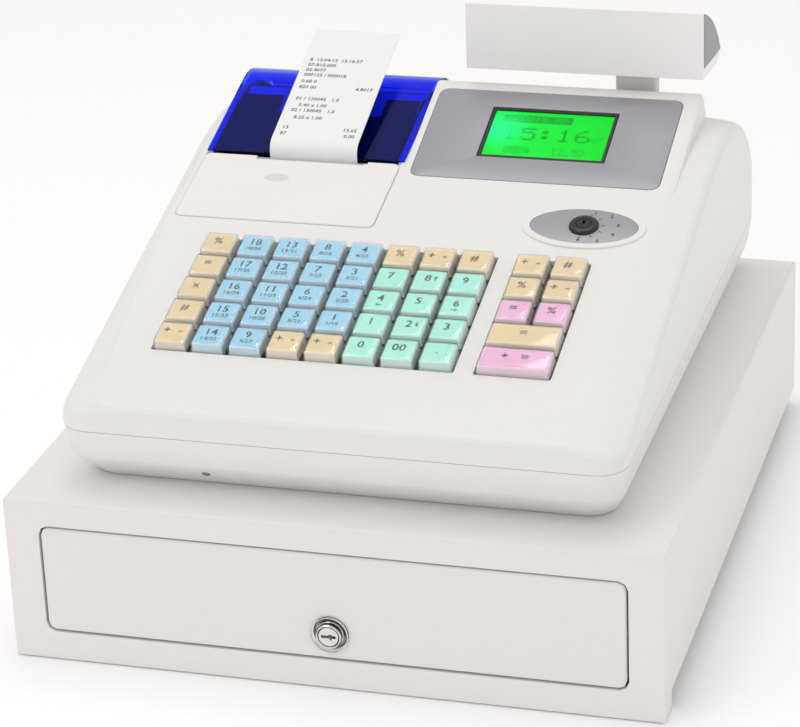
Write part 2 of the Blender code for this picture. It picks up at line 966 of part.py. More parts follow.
def make_release():
    """A bracket with a solenoid, and the hook lever that holds the drawer's strike."""
    rear = rear_face - sheet - release_back_gap
    front = rear - release_depth
    low = pan_top + seat_gap
    half = release_width / 2
    bracket = new_object("release_bracket", box((-half, front, low), (half, rear, low + sheet)), zinc_steel)
    pin_y = front + latch_pin_from_front
    pin_z = low + ear_height - latch_pin_drop
    for side in (-1, 1):
        inner = side * ear_gap / 2
        outer = inner + side * ear_thickness
        left, right = sorted((inner, outer))
        ear = [
            (front, low + sheet / 2),
            (front + ear_depth, low + sheet / 2),
            (pin_y + latch_pin_drop, low + ear_height),
            (pin_y - latch_pin_drop, low + ear_height),
        ]
        fuse(bracket, prism(ear, 0, left, right))
    solenoid_low = (-solenoid_width / 2, rear - solenoid_depth, low + sheet / 2)
    fuse(bracket, box(solenoid_low, (solenoid_width / 2, rear, low + solenoid_height)))
    hole = latch_pin_radius + seat_gap
    cut(bracket, cylinder(0, (pin_y, pin_z), hole, -half, half, boss_sides))

    half_width = ear_gap / 2 - running_gap
    top = pin_z + latch_thickness / 2
    under = pin_z - latch_thickness / 2
    outline = [
        (pin_y + latch_tail, under),
        (pin_y + latch_tail, top),
        (pin_y - latch_reach, top),
        (pin_y - latch_reach, under - latch_hook),
        (pin_y - latch_reach + latch_hook_width, under - latch_hook),
        (pin_y - latch_reach + latch_hook_width, under),
    ]
    origin = (0, pin_y, pin_z)
    lever = new_object("latch_lever", prism(outline, 0, -half_width, half_width), zinc_steel, None, origin)
    pin_half = ear_gap / 2 + ear_thickness
    fuse(lever, cylinder(0, (pin_y, pin_z), latch_pin_radius, -pin_half, pin_half, boss_sides))
    lever.rotation_euler = (-latch_lift_angle, 0, 0)


# Register body


def half_width(y, inset):
    """Half the body's width at a place along it, with its corners rounded in plan."""
    width = body_width / 2 - inset
    ends = (
        (y - body_front - inset, body_corner_front - inset),
        (body_rear - inset - y, body_corner_rear - inset),
    )
    for distance, radius in ends:
        if distance < radius:
            width -= radius - math.sqrt(max(radius * radius - (radius - distance) ** 2, 0))
    return width


def front_height(y, inset):
    """Height of the rounded lip and of the sloping deck behind it."""
    level = deck_level(y) - inset / math.cos(deck_angle)
    lip = max(lip_radius - inset, 0)
    near = max(y - body_front - inset, 0)
    if near < lip:
        level -= lip - math.sqrt(lip * lip - (lip - near) ** 2)
    return level


def shelf_bend(inset):
    """Where the deck bends level: the end of the bend, its radius and its start."""
    end = lip_y + (shelf_height - lip_height) / math.tan(deck_angle) + shelf_bend_run
    radius = shelf_bend_run / math.tan(deck_angle / 2) - inset
    return end, radius, end - radius * math.sin(deck_angle)


def skin_height(y, inset):
    """Height of the top skin: lip and sloping deck, then a level shelf and a round back."""
    level = shelf_height - inset
    back_y = body_rear - back_run
    if y > back_y:
        share = min((y - back_y) / (back_run - inset), 1)
        return back_low + (level - back_low) * math.sqrt(1 - share * share)
    end, radius, start = shelf_bend(inset)
    if y > start:
        return level - radius + math.sqrt(radius * radius - min(y - end, 0) ** 2)
    return front_height(y, inset)


def hood_height(y, inset):
    """Height of the printer hood: it carries the deck's slope on to a round back of its own."""
    radius = hood_radius - inset
    centre_y = body_rear - hood_radius
    centre_z = deck_level(centre_y) - hood_radius / math.cos(deck_angle)
    if y > centre_y - radius * math.sin(deck_angle):
        return centre_z + math.sqrt(max(radius * radius - (y - centre_y) ** 2, 0))
    return front_height(y, inset)


def stations(inset):
    """Places along the body where its outline is drawn."""
    corner = body_corner_front - inset
    places = [
        y for y, _ in arc((body_front + inset + corner, 0), corner, 2 * quarter, quarter, corner_steps)
    ]
    places.append(body_front + shoulder_run)
    radius = hood_radius - inset
    first = shelf_bend(inset)[2]
    last = body_rear - hood_radius - radius * math.sin(deck_angle)
    places += [first + (last - first) * step / shelf_bend_steps for step in range(shelf_bend_steps)]
    corner_y = body_rear - body_corner_rear
    near = math.acos((hood_radius - body_corner_rear) / radius)
    start = quarter + deck_angle
    places += [y for y, _ in arc((body_rear - hood_radius, 0), radius, start, near, rear_steps)]
    corner = body_corner_rear - inset
    return places + [y for y, _ in arc((corner_y, 0), corner, quarter, 0, corner_steps)[1:]]


def shoulder(y):
    """Left and right widths, drop and edge radius of the soft shoulders at a place along the body."""
    share = min((y - body_front) / shoulder_run, 1)
    fade = min((y - body_front) / shoulder_fade_run, 1)
    ends = (
        (left_shoulder_front, left_shoulder_rear, share),
        (right_shoulder_front, right_shoulder_rear, share),
        (shoulder_drop_front, shoulder_drop_rear, fade),
        (shoulder_radius_front, shoulder_radius_rear, fade),
    )
    return [front + (rear - front) * along for front, rear, along in ends]


def upper_section(y, inset, low):
    """The upper housing's cross-section: upright flanks, round shoulders, deck and printer hood."""
    half = half_width(y, inset)
    top = skin_height(y, inset)
    left_width, right_width, drop, radius = shoulder(y)
    radius = max(radius - inset, lip_radius / 2)
    middle = (half - radius, top - drop - radius)
    flank = [(half, low)] + arc(middle, radius, 0, quarter, shoulder_steps)
    hood = hood_height(y, inset)
    hood_right = display_left + hood_slant - inset
    hood_left = max(window_left - hood_slant / 2 + inset, 2 * hood_slant + left_width - half)
    right = flank + [(half - right_width, top), (hood_right + hood_slant, top), (hood_right, hood)]
    left = [(hood_left, hood), (hood_left - hood_slant, top), (left_width - half, top)]
    left += [(-x, z) for x, z in reversed(flank)]
    return placed_ring(right + left, 1, y)


def upper_shape(inset, low):
    return loft([upper_section(y, inset, low) for y in stations(inset)])


def plan_ring(inset, height, insets=(0, 0, 0)):
    """The body's plan at one height, drawn in at the sides, the front and the rear."""
    side_inset, front_inset, rear_inset = insets
    places = stations(inset)
    front = places[0]
    rear = places[-1]
    wide = body_width / 2 - inset
    right = []
    for y in places:
        share = (y - front) / (rear - front)
        shifted = front + front_inset + share * (rear - rear_inset - front - front_inset)
        right.append((half_width(y, inset) * (wide - side_inset) / wide, shifted, height))
    return right + [(-x, y, z) for x, y, z in reversed(right)]


def lower_shape(inset, low, high):
    """The lower housing's form: upright to the fold, then drawn in to the foot."""
    rings = [
        plan_ring(inset, low, waist_insets),
        plan_ring(inset, fold_height - fold_drop, under_insets),
        plan_ring(inset, fold_height, fold_insets),
        plan_ring(inset, high),
    ]
    return loft(rings)


def display_outline(inset):
    """Side view of the raised display housing, from the deck up its face and down its back."""
    along = Vector((math.cos(display_angle), math.sin(display_angle)))
    normal = Vector((-along.y, along.x))
    foot = Vector((display_y, deck_level(display_y))) - normal * inset
    top = foot + along * (display_length - inset)
    low = foot.y - display_bury - inset
    start = inset or -display_lap
    return [
        (foot.x + start, low),
        (foot.x + start, foot.y + start * math.tan(display_angle)),
        tuple(top),
        (top.x + display_back_run, top.y - display_back_drop),
        (top.x + display_back_run, low),
    ]


def screw_bosses(low, top_of):
    """Screw bosses near the four corners, each up to its own height."""
    bosses = []
    for y in (body_front + boss_front, body_rear - boss_rear):
        for x in (-boss_side, boss_side):
            bosses.append(cylinder(2, (x, y), boss_radius, low, top_of(x, y), boss_sides))
    return bosses


def boss_top(x, y):
    """The height that keeps a boss's top inside the upper skin."""
    height = hood_height if x < display_left else skin_height
    return min(height(y - boss_radius, boss_bury), height(y + boss_radius, boss_bury))


def make_lower_housing():
    """Open tray that carries the boards, with bosses, stands and sockets at the back."""
    high = parting_height - seat_gap
    housing = new_object("lower_housing", lower_shape(0, body_low, high), white_plastic)
    floor = body_low + body_floor
    cut(housing, lower_shape(body_wall, floor, high + overrun))
    for boss in screw_bosses(floor - body_floor / 2, lambda x, y: high):
        fuse(housing, boss)
    stand_top = floor + board_stand - seat_gap
    for x in (board_low_side + board_stand_inset, board_high_side - board_stand_inset):
        for y in (board_front_y() + board_stand_inset, board_rear_y() - board_stand_inset):
            stand = cylinder(2, (x, y), board_stand_radius, floor - body_floor / 2, stand_top, boss_sides)
            fuse(housing, stand)
    low_y = body_rear - body_wall - 2 * overrun
    holes = []
    for x in jack_sides:
        reach = jack_width / 2 + jack_wall_gap
        base = floor + board_stand + board_thickness / 2
        top = base + board_thickness / 2 + jack_height
        holes.append(
            box(
                (x - reach, low_y, base - jack_wall_gap),
                (x + reach, body_rear + overrun, top + jack_wall_gap),
            )
        )
    reach = inlet_width / 2 + jack_wall_gap
    rise = inlet_rise / 2 + jack_wall_gap
    holes.append(
        box(
            (inlet_side - reach, low_y, inlet_height - rise),
            (inlet_side + reach, body_rear + overrun, inlet_height + rise),
        )
    )
    cut(housing, *holes)


def key_window(first, columns):
    """Deck opening round a block of keys."""
    reach = key_base / 2 + window_margin
    last = first + (columns - 1) * key_pitch
    last_row = first_row + (key_rows - 1) * key_row_pitch
    return (first - reach, first_row - reach), (last + reach, last_row + reach)


def make_upper_housing():
    """Moulded top cover: sloping key deck, display housing, printer hood, shelf and round back."""
    low = parting_height
    housing = new_object("upper_housing", upper_shape(0, low), white_plastic)
    raised = prism(display_outline(0), 0, display_left, display_right)
    threshold = deck_level(display_y) + display_round

    def high_edge(a, b):
        return max(a.z, b.z) > threshold and min(a.z, b.z) > threshold - 2 * display_round

    fuse(housing, round_edges(raised, display_round, 2, high_edge))
    centre = (mode_side, mode_along)
    ring = ellipse(
        centre, mode_plate_width + 2 * mode_ring_width, mode_plate_length + 2 * mode_ring_width, mode_sides
    )
    fuse(housing, moved(prism(ring, 2, -body_wall / 2, mode_ring_rise), deck_frame))

    cut(housing, upper_shape(body_wall, low - overrun))
    cut(housing, prism(display_outline(body_wall), 0, display_left + body_wall, display_right - body_wall))

    for boss in screw_bosses(low, boss_top):
        fuse(housing, boss)
    collar = mode_lock_radius + running_gap + mode_collar_wall
    fuse(
        housing,
        moved(cylinder(2, centre, collar, -mode_collar_depth, -body_wall / 2, lock_sides), deck_frame),
    )
    sleeve_half = post_width / 2 + post_gap + post_sleeve_wall
    sleeve_reach = post_depth / 2 + post_gap + post_sleeve_wall
    post_y = body_front + post_setback
    sleeve_top = skin_height(post_y + sleeve_reach, body_wall / 2)
    fuse(
        housing,
        box(
            (post_side - sleeve_half, post_y - sleeve_reach, sleeve_top - post_sleeve_depth),
            (post_side + sleeve_half, post_y + sleeve_reach, sleeve_top),
        ),
    )

    plate = ellipse(centre, mode_plate_width, mode_plate_length, mode_sides)
    recess = moved(prism(plate, 2, mode_plate_rise, mode_ring_rise + overrun), deck_frame)
    cut(housing, recess)
    lock_hole = cylinder(
        2, centre, mode_lock_radius + running_gap, -mode_collar_depth - overrun, overrun, lock_sides
    )
    windows = []
    for first, columns in ((first_column, key_columns), (function_column, function_columns)):
        outline = rounded_rectangle(*key_window(first, columns), window_corner)
        windows.append(moved(prism(outline, 2, -body_wall - overrun, overrun), deck_frame))
    cut(housing, moved(lock_hole, deck_frame), *windows)

    pocket = rounded_rectangle(
        (bezel_left - bezel_gap, bezel_low - bezel_gap),
        (bezel_right + bezel_gap, bezel_low + bezel_length + bezel_gap),
        bezel_corner + bezel_gap,
        corner_steps,
    )
    cut(housing, moved(prism(pocket, 2, -bezel_thickness, overrun), display_frame))
    lcd_hole = box(
        (lcd_left - bezel_gap, lcd_low - bezel_gap, -body_wall - overrun),
        (lcd_right + bezel_gap, lcd_low + lcd_length + bezel_gap, overrun),
    )
    cut(housing, moved(lcd_hole, display_frame))

    seat = rounded_rectangle(
        (bay_left - bezel_gap, cover_low - bezel_gap),
        (bay_right + bezel_gap, cover_high + overrun),
        cover_corner + bezel_gap,
        corner_steps,
    )
    cut(housing, moved(prism(seat, 2, -cover_sink, overrun), deck_frame))
    bay = box(
        (bay_left + bay_lap, bay_front_y, low + overrun),
        (bay_right - bay_lap, tub_end + tub_side_gap, display_top() + overrun),
    )
    post = rounded_rectangle(
        (post_side - post_width / 2 - post_gap, post_y - post_depth / 2 - post_gap),
        (post_side + post_width / 2 + post_gap, post_y + post_depth / 2 + post_gap),
        post_corner + post_gap,
    )
    cut(housing, bay, prism(post, 2, post_low, head_low))
    smooth(housing, quarter / 3)


def display_top():
    return display_outline(0)[2][1]


# Keyboard


def key_centre(column, row):
    """Centre of a key on the deck. Columns past the first block are the function keys."""
    if column < key_columns:
        x = first_column + column * key_pitch
    else:
        x = function_column + (column - key_columns) * key_pitch
    return x, first_row + row * key_row_pitch


def square_ring(centre, width, length, level):
    """A rectangle with cut corners, at one height on the deck."""
    outline = rounded_rectangle(
        (centre[0] - width / 2, centre[1] - length / 2),
        (centre[0] + width / 2, centre[1] + length / 2),
        key_corner,
        steps=1,
    )
    return placed_ring(outline, 2, level)


def cap_rings(centre, extra):
    """The outside of a key cap from its skirt to its top; extra widens a double key."""
    edge_width = key_top + 2 * key_edge + extra
    edge_length = key_top_length + 2 * key_edge
    return [
        square_ring(centre, key_base + extra, key_base, -key_sink),
        square_ring(centre, edge_width, edge_length, key_rise - key_edge),
        square_ring(centre, key_top + extra, key_top_length, key_rise),
    ]


def moving_key(centre, extra):
    """A hollow cap on a square stem."""
    ceiling = key_rise - key_ceiling
    hollow = key_top - 2 * key_wall
    inner = [
        square_ring(centre, key_stem, key_stem, ceiling - key_stem_length),
        square_ring(centre, key_stem, key_stem, ceiling),
        square_ring(centre, hollow + extra, hollow, ceiling),
        square_ring(centre, key_base - 2 * key_wall + extra, key_base - 2 * key_wall, -key_sink),
    ]
    return loft(inner + cap_rings(centre, extra))


def moving_keys():
    """Name, centre, extra width and colour of each key that has its own piece."""
    keys = []
    for row, names in enumerate(number_names):
        for place, name in enumerate(names):
            keys.append((f"key_{name}", key_centre(first_number_column + place, row), 0, key_mint))
    for row, (name, look) in enumerate(wide_keys):
        x, along = key_centre(key_columns, row)
        keys.append((name, (x + key_pitch / 2, along), key_pitch, look))
    for above, look in enumerate(function_looks):
        row = len(wide_keys) + above
        for place in range(function_columns):
            centre = key_centre(key_columns + place, row)
            keys.append((f"key_function_{row}_{place + 1}", centre, 0, look))
    return keys


def fixed_key_places():
    """Centres of the keys that are moulded on with the key plate."""
    moving = {centre for _, centre, _, _ in moving_keys()}
    places = []
    for column in range(key_columns):
        for row in range(key_rows):
            centre = key_centre(column, row)
            if centre not in moving:
                places.append(centre)
    return places


def make_key_plate(deck):
    """Guide plate below the deck, with holes for the stems and the keys that stand still."""
    top = -key_sink - key_travel - running_gap
    bottom = top - plate_thickness
    low, _ = key_window(first_column, key_columns)
    _, high = key_window(function_column, function_columns)
    low = (low[0] - plate_margin, low[1] - plate_margin)
    high = (high[0] + plate_margin, high[1] + plate_margin)
    rim_top = -body_wall - seat_gap
    plate = new_object("key_plate", box((*low, bottom), (*high, rim_top)), key_blue, deck)
    well_low = (low[0] + plate_rim, low[1] + plate_rim, top)
    cut(plate, box(well_low, (high[0] - plate_rim, high[1] - plate_rim, rim_top + overrun)))
    for centre in fixed_key_places():
        neck = [
            square_ring(centre, key_stem, key_stem, top - plate_thickness / 2),
            square_ring(centre, key_stem, key_stem, -key_sink),
        ]
        fuse(plate, loft(neck + cap_rings(centre, 0)))
    hole = key_stem / 2 + key_hole_gap
    holes = []
    for _, (x, u), _, _ in moving_keys():
        holes.append(box((x - hole, u - hole, bottom - overrun), (x + hole, u + hole, top + overrun)))
    cut(plate, *holes)


def make_keys(deck):
    for name, centre, extra, look in moving_keys():
        new_object(name, moving_key(centre, extra), look, deck, (*centre, 0))


def make_mode_lock(deck):
    """Round switch lock with a straight keyway, turned by the operator's key."""
    centre = (mode_side, mode_along)
    profile = [
        (mode_lock_radius, -mode_lock_depth),
        (mode_lock_radius, mode_lock_rise - mode_lock_round),
        (mode_lock_radius - mode_lock_round, mode_lock_rise),
    ]
    shape = revolve(profile, 2, centre, lock_sides)
    lock = new_object("mode_lock", shape, dark_plastic, deck, (*centre, 0))
    keyway = box(
        (mode_side - keyway_width / 2, mode_along - mode_keyway_length / 2, mode_lock_rise - keyway_depth),
        (mode_side + keyway_width / 2, mode_along + mode_keyway_length / 2, mode_lock_rise + overrun),
    )
    cut(lock, keyway)
    smooth(lock, quarter / 2)


# Operator display


def make_operator_display(face):
    low = (bezel_left, bezel_low)
    high = (bezel_right, bezel_low + bezel_length)
    outline = rounded_rectangle(low, high, bezel_corner, corner_steps)
    back = seat_gap - bezel_thickness
    bezel = new_object("display_bezel", prism(outline, 2, back, seat_gap), grey_plastic, face)
    opening = box(
        (lcd_left, lcd_low, back - overrun), (lcd_right, lcd_low + lcd_length, seat_gap + overrun)
    )
    cut(bezel, opening)

    front_low = (lcd_left + bezel_gap, lcd_low + bezel_gap, -body_wall - running_gap)
    front_high = (lcd_right - bezel_gap, lcd_low + lcd_length - bezel_gap, -lcd_recess)
    lcd = new_object("lcd_module", box(front_low, front_high), lcd_green, face)
    back_low = (lcd_left - lcd_flange, lcd_low - lcd_flange, -body_wall - lcd_depth)
    back_high = (lcd_right + lcd_flange, lcd_low + lcd_length + lcd_flange, -body_wall - seat_gap)
    fuse(lcd, box(back_low, back_high))


# Receipt printer


def make_printer_cover(deck):
    """Lift-off cover: a thin lid with a skirt below and a thumb scoop at the paper slot."""
    top = cover_thickness - cover_sink + seat_gap
    low = seat_gap - cover_sink
    outline = rounded_rectangle((bay_left, cover_low), (bay_right, cover_high), cover_corner, corner_steps)
    lid = prism(outline, 2, low, top)

    def upper(a, b):
        return min(a.z, b.z) > (low + top) / 2

    cover = new_object(
        "printer_cover", round_edges(lid, cover_edge_round, 1, upper), white_plastic, deck
    )
    inset = cover_skirt_inset
    skirt_low = (bay_left + inset, cover_low + inset, low - cover_skirt_drop)
    skirt_high = (bay_right - inset, cover_high - inset, low + cover_thickness / 2)
    fuse(cover, box(skirt_low, skirt_high))
    wall = cover_edge_round + cover_thickness / 2
    hollow_low = (skirt_low[0] + wall, skirt_low[1] + wall, skirt_low[2] - overrun)
    cut(cover, box(hollow_low, (skirt_high[0] - wall, skirt_high[1] - wall, low)))
    scoop = rounded_rectangle(
        (paper_middle - cover_scoop_width / 2, cover_high - cover_scoop_depth),
        (paper_middle + cover_scoop_width / 2, cover_high + overrun),
        cover_scoop_depth / 2,
    )
    cut(cover, prism(scoop, 2, low - cover_skirt_drop - overrun, top + overrun))


def window_centre():
    """Centre of the roll cover's round back, seen from the side."""
    return body_front + window_arc_setback, window_arc_height


def window_outline(inset):
    """Side view of the roll cover: a straight front that runs into a round back."""
    front = body_front + window_front + inset
    centre = window_centre()
    radius = window_arc_radius - inset
    start_z = deck_level(front) + window_rise - inset
    distance = math.hypot(front - centre[0], start_z - centre[1])
    tangent = math.acos(radius / distance)
    start = math.atan2(start_z - centre[1], front - centre[0]) - tangent
    upper = [(front, start_z)] + arc(centre, radius, start, window_end_angle, window_arc_steps)
    end = upper[-1][0]
    places = [front] + [y for y in stations(0) if front < y < end] + [end]
    drop = overrun if inset else -seat_gap
    lower = [(y, hood_height(y, 0) - drop) for y in reversed(places)]
    return upper + lower


def make_roll_window():
    """Tinted roll cover with closed sides, a hinge barrel behind and lugs for the platen."""
    hinge = (hinge_y, hinge_z)
    origin = (0, *hinge)
    cover = new_object(
        "roll_window", prism(window_outline(0), 0, window_left, window_right), clear_blue, None, origin
    )
    hollow_ends = (window_left + window_wall, window_right - window_wall)
    cut(cover, prism(window_outline(window_wall), 0, *hollow_ends))
    left = bay_left + bay_lap + tub_side_gap + tub_wall + hinge_end_gap
    right = bay_right - bay_lap - tub_side_gap - tub_wall - hinge_end_gap
    fuse(cover, cylinder(0, hinge, hinge_radius, left, right, hinge_sides))
    web = arc(window_centre(), window_arc_radius, window_web_angle, window_end_angle, corner_steps)
    web += arc(
        window_centre(), window_arc_radius - window_wall, window_end_angle, window_web_angle, corner_steps
    )
    fuse(cover, prism(web, 0, left, right))
    pin_reach = tub_wall + hinge_end_gap
    fuse(cover, cylinder(0, hinge, hinge_pin_radius, left - pin_reach, right + pin_reach, hinge_sides))
    platen = (body_front + platen_setback, platen_height)
    lug_top = deck_level(platen[0]) + window_rise - window_wall / 2
    holes = []
    for side in (-1, 1):
        near = paper_middle + side * (platen_length / 2 + platen_lug_gap)
        low, high = sorted((near, near + side * platen_lug_thickness))
        lug_low = (low, platen[0] - platen_lug_half, platen[1] - platen_lug_drop)
        fuse(cover, box(lug_low, (high, platen[0] + platen_lug_half, lug_top)))
        hole = platen_shaft_radius + seat_gap
        holes.append(cylinder(0, platen, hole, low - sheet / 2, high + sheet / 2, hinge_sides))
    cut(cover, *holes)
    smooth(cover, quarter / 3)


def make_platen():
    """Rubber roller on a steel shaft with its drive gear."""
    centre = (body_front + platen_setback, platen_height)
    half = platen_length / 2
    shaft = half + platen_lug_gap + platen_lug_thickness + platen_lug_gap
    profile = [
        (platen_shaft_radius, paper_middle - shaft),
        (platen_shaft_radius, paper_middle - half),
        (platen_radius, paper_middle - half),
        (platen_radius, paper_middle + half),
        (platen_shaft_radius, paper_middle + half),
        (platen_shaft_radius, paper_middle + shaft),
    ]
    roller = new_object(
        "platen_roller", revolve(profile, 0, centre, lock_sides), black_rubber, None, (paper_middle, *centre)
    )
    points = []
    pitch = 4 * quarter / gear_teeth
    for tooth in range(gear_teeth):
        middle = tooth * pitch
        for share, radius in (
            (-gear_root_share, gear_radius),
            (-gear_tip_share, gear_radius + gear_tooth),
            (gear_tip_share, gear_radius + gear_tooth),
            (gear_root_share, gear_radius),
        ):
            angle = middle + share * pitch
            points.append((centre[0] + radius * math.cos(angle), centre[1] + radius * math.sin(angle)))
    start = paper_middle + shaft - platen_lug_gap / 2
    fuse(roller, prism(points, 0, start, start + gear_width))
    smooth(roller, quarter / 3)


def make_paper():
    """Paper roll in its trough, and the printed strip that stands out of the slot."""
    centre = (body_front + roll_setback, roll_height)
    left = paper_middle - paper_width / 2
    right = paper_middle + paper_width / 2
    profile = [
        (roll_radius, left),
        (roll_radius, right),
        (roll_core_radius, right),
        (roll_core_radius, left),
    ]
    roll = revolve(profile, 0, centre, roll_sides, closed=True)
    smooth(new_object("paper_roll", roll, paper_white, None, (paper_middle, *centre)), quarter / 2)

    bend = (receipt_front + receipt_bend_radius, receipt_bend_height)
    end_angle = quarter + receipt_lean
    inner = receipt_bend_radius - receipt_thickness
    outside = [(receipt_front, platen_height)]
    outside += arc(bend, receipt_bend_radius, 2 * quarter, end_angle, receipt_bend_steps)
    inside = [(receipt_front + receipt_thickness, platen_height)]
    inside += arc(bend, inner, 2 * quarter, end_angle, receipt_bend_steps)
    along = Vector((math.cos(receipt_lean), math.sin(receipt_lean))) * receipt_length
    outside.append(tuple(Vector(outside[-1]) + along))
    inside.append(tuple(Vector(inside[-1]) + along))
    new_object("receipt", prism(outside + inside[::-1], 0, left, right), paper_white)


def tub_outline(inset):
    """Side view of the paper tub: printer floor in front, round trough behind."""
    front = bay_front_y + tub_side_gap + inset
    rear = tub_end - inset
    centre = (body_front + roll_setback, roll_height)
    radius = roll_radius + trough_gap + tub_wall - inset
    floor = tub_floor - tub_wall + inset
    ridge = tub_ridge - tub_wall + inset
    step_y = bay_front_y + tub_floor_length - inset
    trough = arc(centre, radius, 2 * quarter, 4 * quarter, trough_steps)
    rear_low = hinge_z - hinge_room - tub_wall + inset
    back = [(centre[0] + radius, rear_low), (rear, rear_low)]
    if inset:
        roof = deck_level(rear)
        top = [(rear, roof), (front, roof)]
        step = [(step_y, floor), (step_y, ridge), (centre[0] - radius, ridge)]
        return [(front, floor)] + step + trough + back + top
    trough = [(y, z) for y, z in trough if y > centre[0] or z < floor]
    places = [front] + [y for y in stations(0) if front < y < rear] + [rear]
    top = [(y, hood_height(y, 0) - tub_sink) for y in reversed(places)]
    return [(front, floor)] + trough + back + top


def make_printer_frame():
    """Paper tub with the print head, its motor and the tear bar."""
    left = bay_left + bay_lap + tub_side_gap
    right = bay_right - bay_lap - tub_side_gap
    frame = new_object("printer_frame", prism(tub_outline(0), 0, left, right), dark_plastic)
    cut(frame, prism(tub_outline(tub_wall), 0, left + tub_wall, right - tub_wall))
    head_back = receipt_front - seat_gap
    head_top = tub_floor + head_height
    head_low = (paper_middle - head_width / 2, head_back - head_depth, tub_floor - tub_wall / 2)
    fuse(frame, box(head_low, (paper_middle + head_width / 2, head_back, head_top)))
    bar_low = (paper_middle - tear_bar_width / 2, head_back - tear_bar_thickness, head_top - sheet)
    bar_high = (paper_middle + tear_bar_width / 2, head_back, head_top + tear_bar_height)
    fuse(frame, box(bar_low, bar_high))
    motor_centre = (head_back - head_depth / 2, tub_floor + motor_radius - tub_wall / 2)
    motor_right = head_low[0] + sheet
    fuse(
        frame,
        cylinder(0, motor_centre, motor_radius, motor_right - motor_length, motor_right, lock_sides),
    )
    hinge = (hinge_y, hinge_z)
    hole = hinge_pin_radius + seat_gap
    cut(frame, cylinder(0, hinge, hole, left - overrun, right + overrun, hinge_sides))


# Customer display


def make_customer_post():
    """Flat post that slides in the body, with the spigot that the display turns on."""
    y = body_front + post_setback
    low = (post_side - post_width / 2, y - post_depth / 2)
    high = (post_side + post_width / 2, y + post_depth / 2)
    top = head_low - seat_gap
    outline = rounded_rectangle(low, high, post_corner)
    post = new_object(
        "customer_post", prism(outline, 2, post_low, top), grey_plastic, None, (post_side, y, post_low)
    )
    fuse(post, cylinder(2, (post_side, y), spigot_radius, top - sheet, top + spigot_height, boss_sides))


def head_curve(inset):
    """The bulging window seen from the side, from the top of the back panel to the rear edge."""
    front = Vector((body_front + head_setback, head_low + head_rise))
    rear = Vector((body_front + head_setback + head_run, head_low + head_tray_rise))
    chord = rear - front
    radius = (chord.length_squared / 4 + head_bulge * head_bulge) / (2 * head_bulge)
    outwards = Vector((-chord.y, chord.x)).normalized()
    centre = (front + rear) / 2 - outwards * (radius - head_bulge)
    panel = front.x + head_wall + seat_gap
    radius -= inset
    seam = head_low + head_tray_rise + seat_gap
    start = math.acos((panel - centre.x) / radius)
    end = math.asin((seam - centre.y) / radius)
    return arc(centre, radius, start, end, head_steps)


def flared(shape):
    """Widen the display towards its window."""
    middle = (head_left + head_right) / 2
    reach = (head_right - head_left) / 2
    front = body_front + head_setback
    for vert in shape.verts:
        depth_share = (vert.co.y - front) / head_run
        vert.co.x = middle + (vert.co.x - middle) * (1 + depth_share * head_flare / reach)
    return shape


def make_customer_display():
    """White back panel and base tray, with a tinted window that bulges towards the customer."""
    y = body_front + post_setback
    origin = (post_side, y, head_low)
    front = body_front + head_setback
    rear = front + head_run
    tray_top = head_low + head_tray_rise
    outline = [
        (front, head_low),
        (rear - head_tray_slope, head_low),
        (rear, tray_top),
        (front + head_wall, tray_top),
        (front + head_wall, head_low + head_rise),
        (front, head_low + head_rise),
    ]
    shell = new_object(
        "customer_shell", flared(prism(outline, 0, head_left, head_right)), white_plastic, None, origin
    )
    tray = [
        (front + head_wall, head_low + head_wall),
        (rear - head_tray_slope - head_wall, head_low + head_wall),
        (rear - head_wall, tray_top + overrun),
        (front + head_wall, tray_top + overrun),
    ]
    cut(shell, flared(prism(tray, 0, head_left + head_wall, head_right - head_wall)))
    hole = spigot_radius + seat_gap
    high = head_low + head_wall + overrun
    cut(shell, cylinder(2, (post_side, y), hole, head_low - overrun, high, boss_sides))

    curve = head_curve(0)
    outline = curve + [(curve[0][0], curve[-1][1])]
    window = new_object(
        "customer_window", flared(prism(outline, 0, head_left, head_right)), smoke_grey, None, origin
    )
    inner = head_curve(head_glass)
    low = inner[-1][1] - overrun
    hollow = [(curve[0][0] - overrun, inner[0][1])] + inner
    hollow += [(inner[-1][0], low), (curve[0][0] - overrun, low)]
    cut(window, flared(prism(hollow, 0, head_left + head_glass, head_right - head_glass)))
    smooth(window, quarter / 3)


# Parts inside the body


def board_front_y():
    return body_front + board_front


def board_rear_y():
    return body_rear - body_wall - waist_insets[2] + seat_gap


def make_main_board():
    """Circuit board with its rear sockets and two large chips."""
    low = body_low + body_floor + board_stand
    top = low + board_thickness
    rear = board_rear_y()
    shape = box((board_low_side, board_front_y(), low), (board_high_side, rear, top))
    board = new_object("main_board", shape, board_green)
    for x, setback in chip_places:
        y = body_front + setback
        half = chip_size / 2
        chip_low = (x - half, y - half, top - board_thickness / 2)
        fuse(board, box(chip_low, (x + half, y + half, top + chip_height)))
    sockets = []
    jack_back = body_rear - under_insets[2]
    for x in jack_sides:
        half = jack_width / 2
        jack_low = (x - half, rear - jack_depth, top - board_thickness / 2)
        fuse(board, box(jack_low, (x + half, jack_back, top + jack_height)))
        hole_low = (x - jack_hole / 2, rear - jack_hole, top + sheet)
        sockets.append(box(hole_low, (x + jack_hole / 2, jack_back + overrun, top + sheet + jack_hole)))
    cut(board, *sockets)


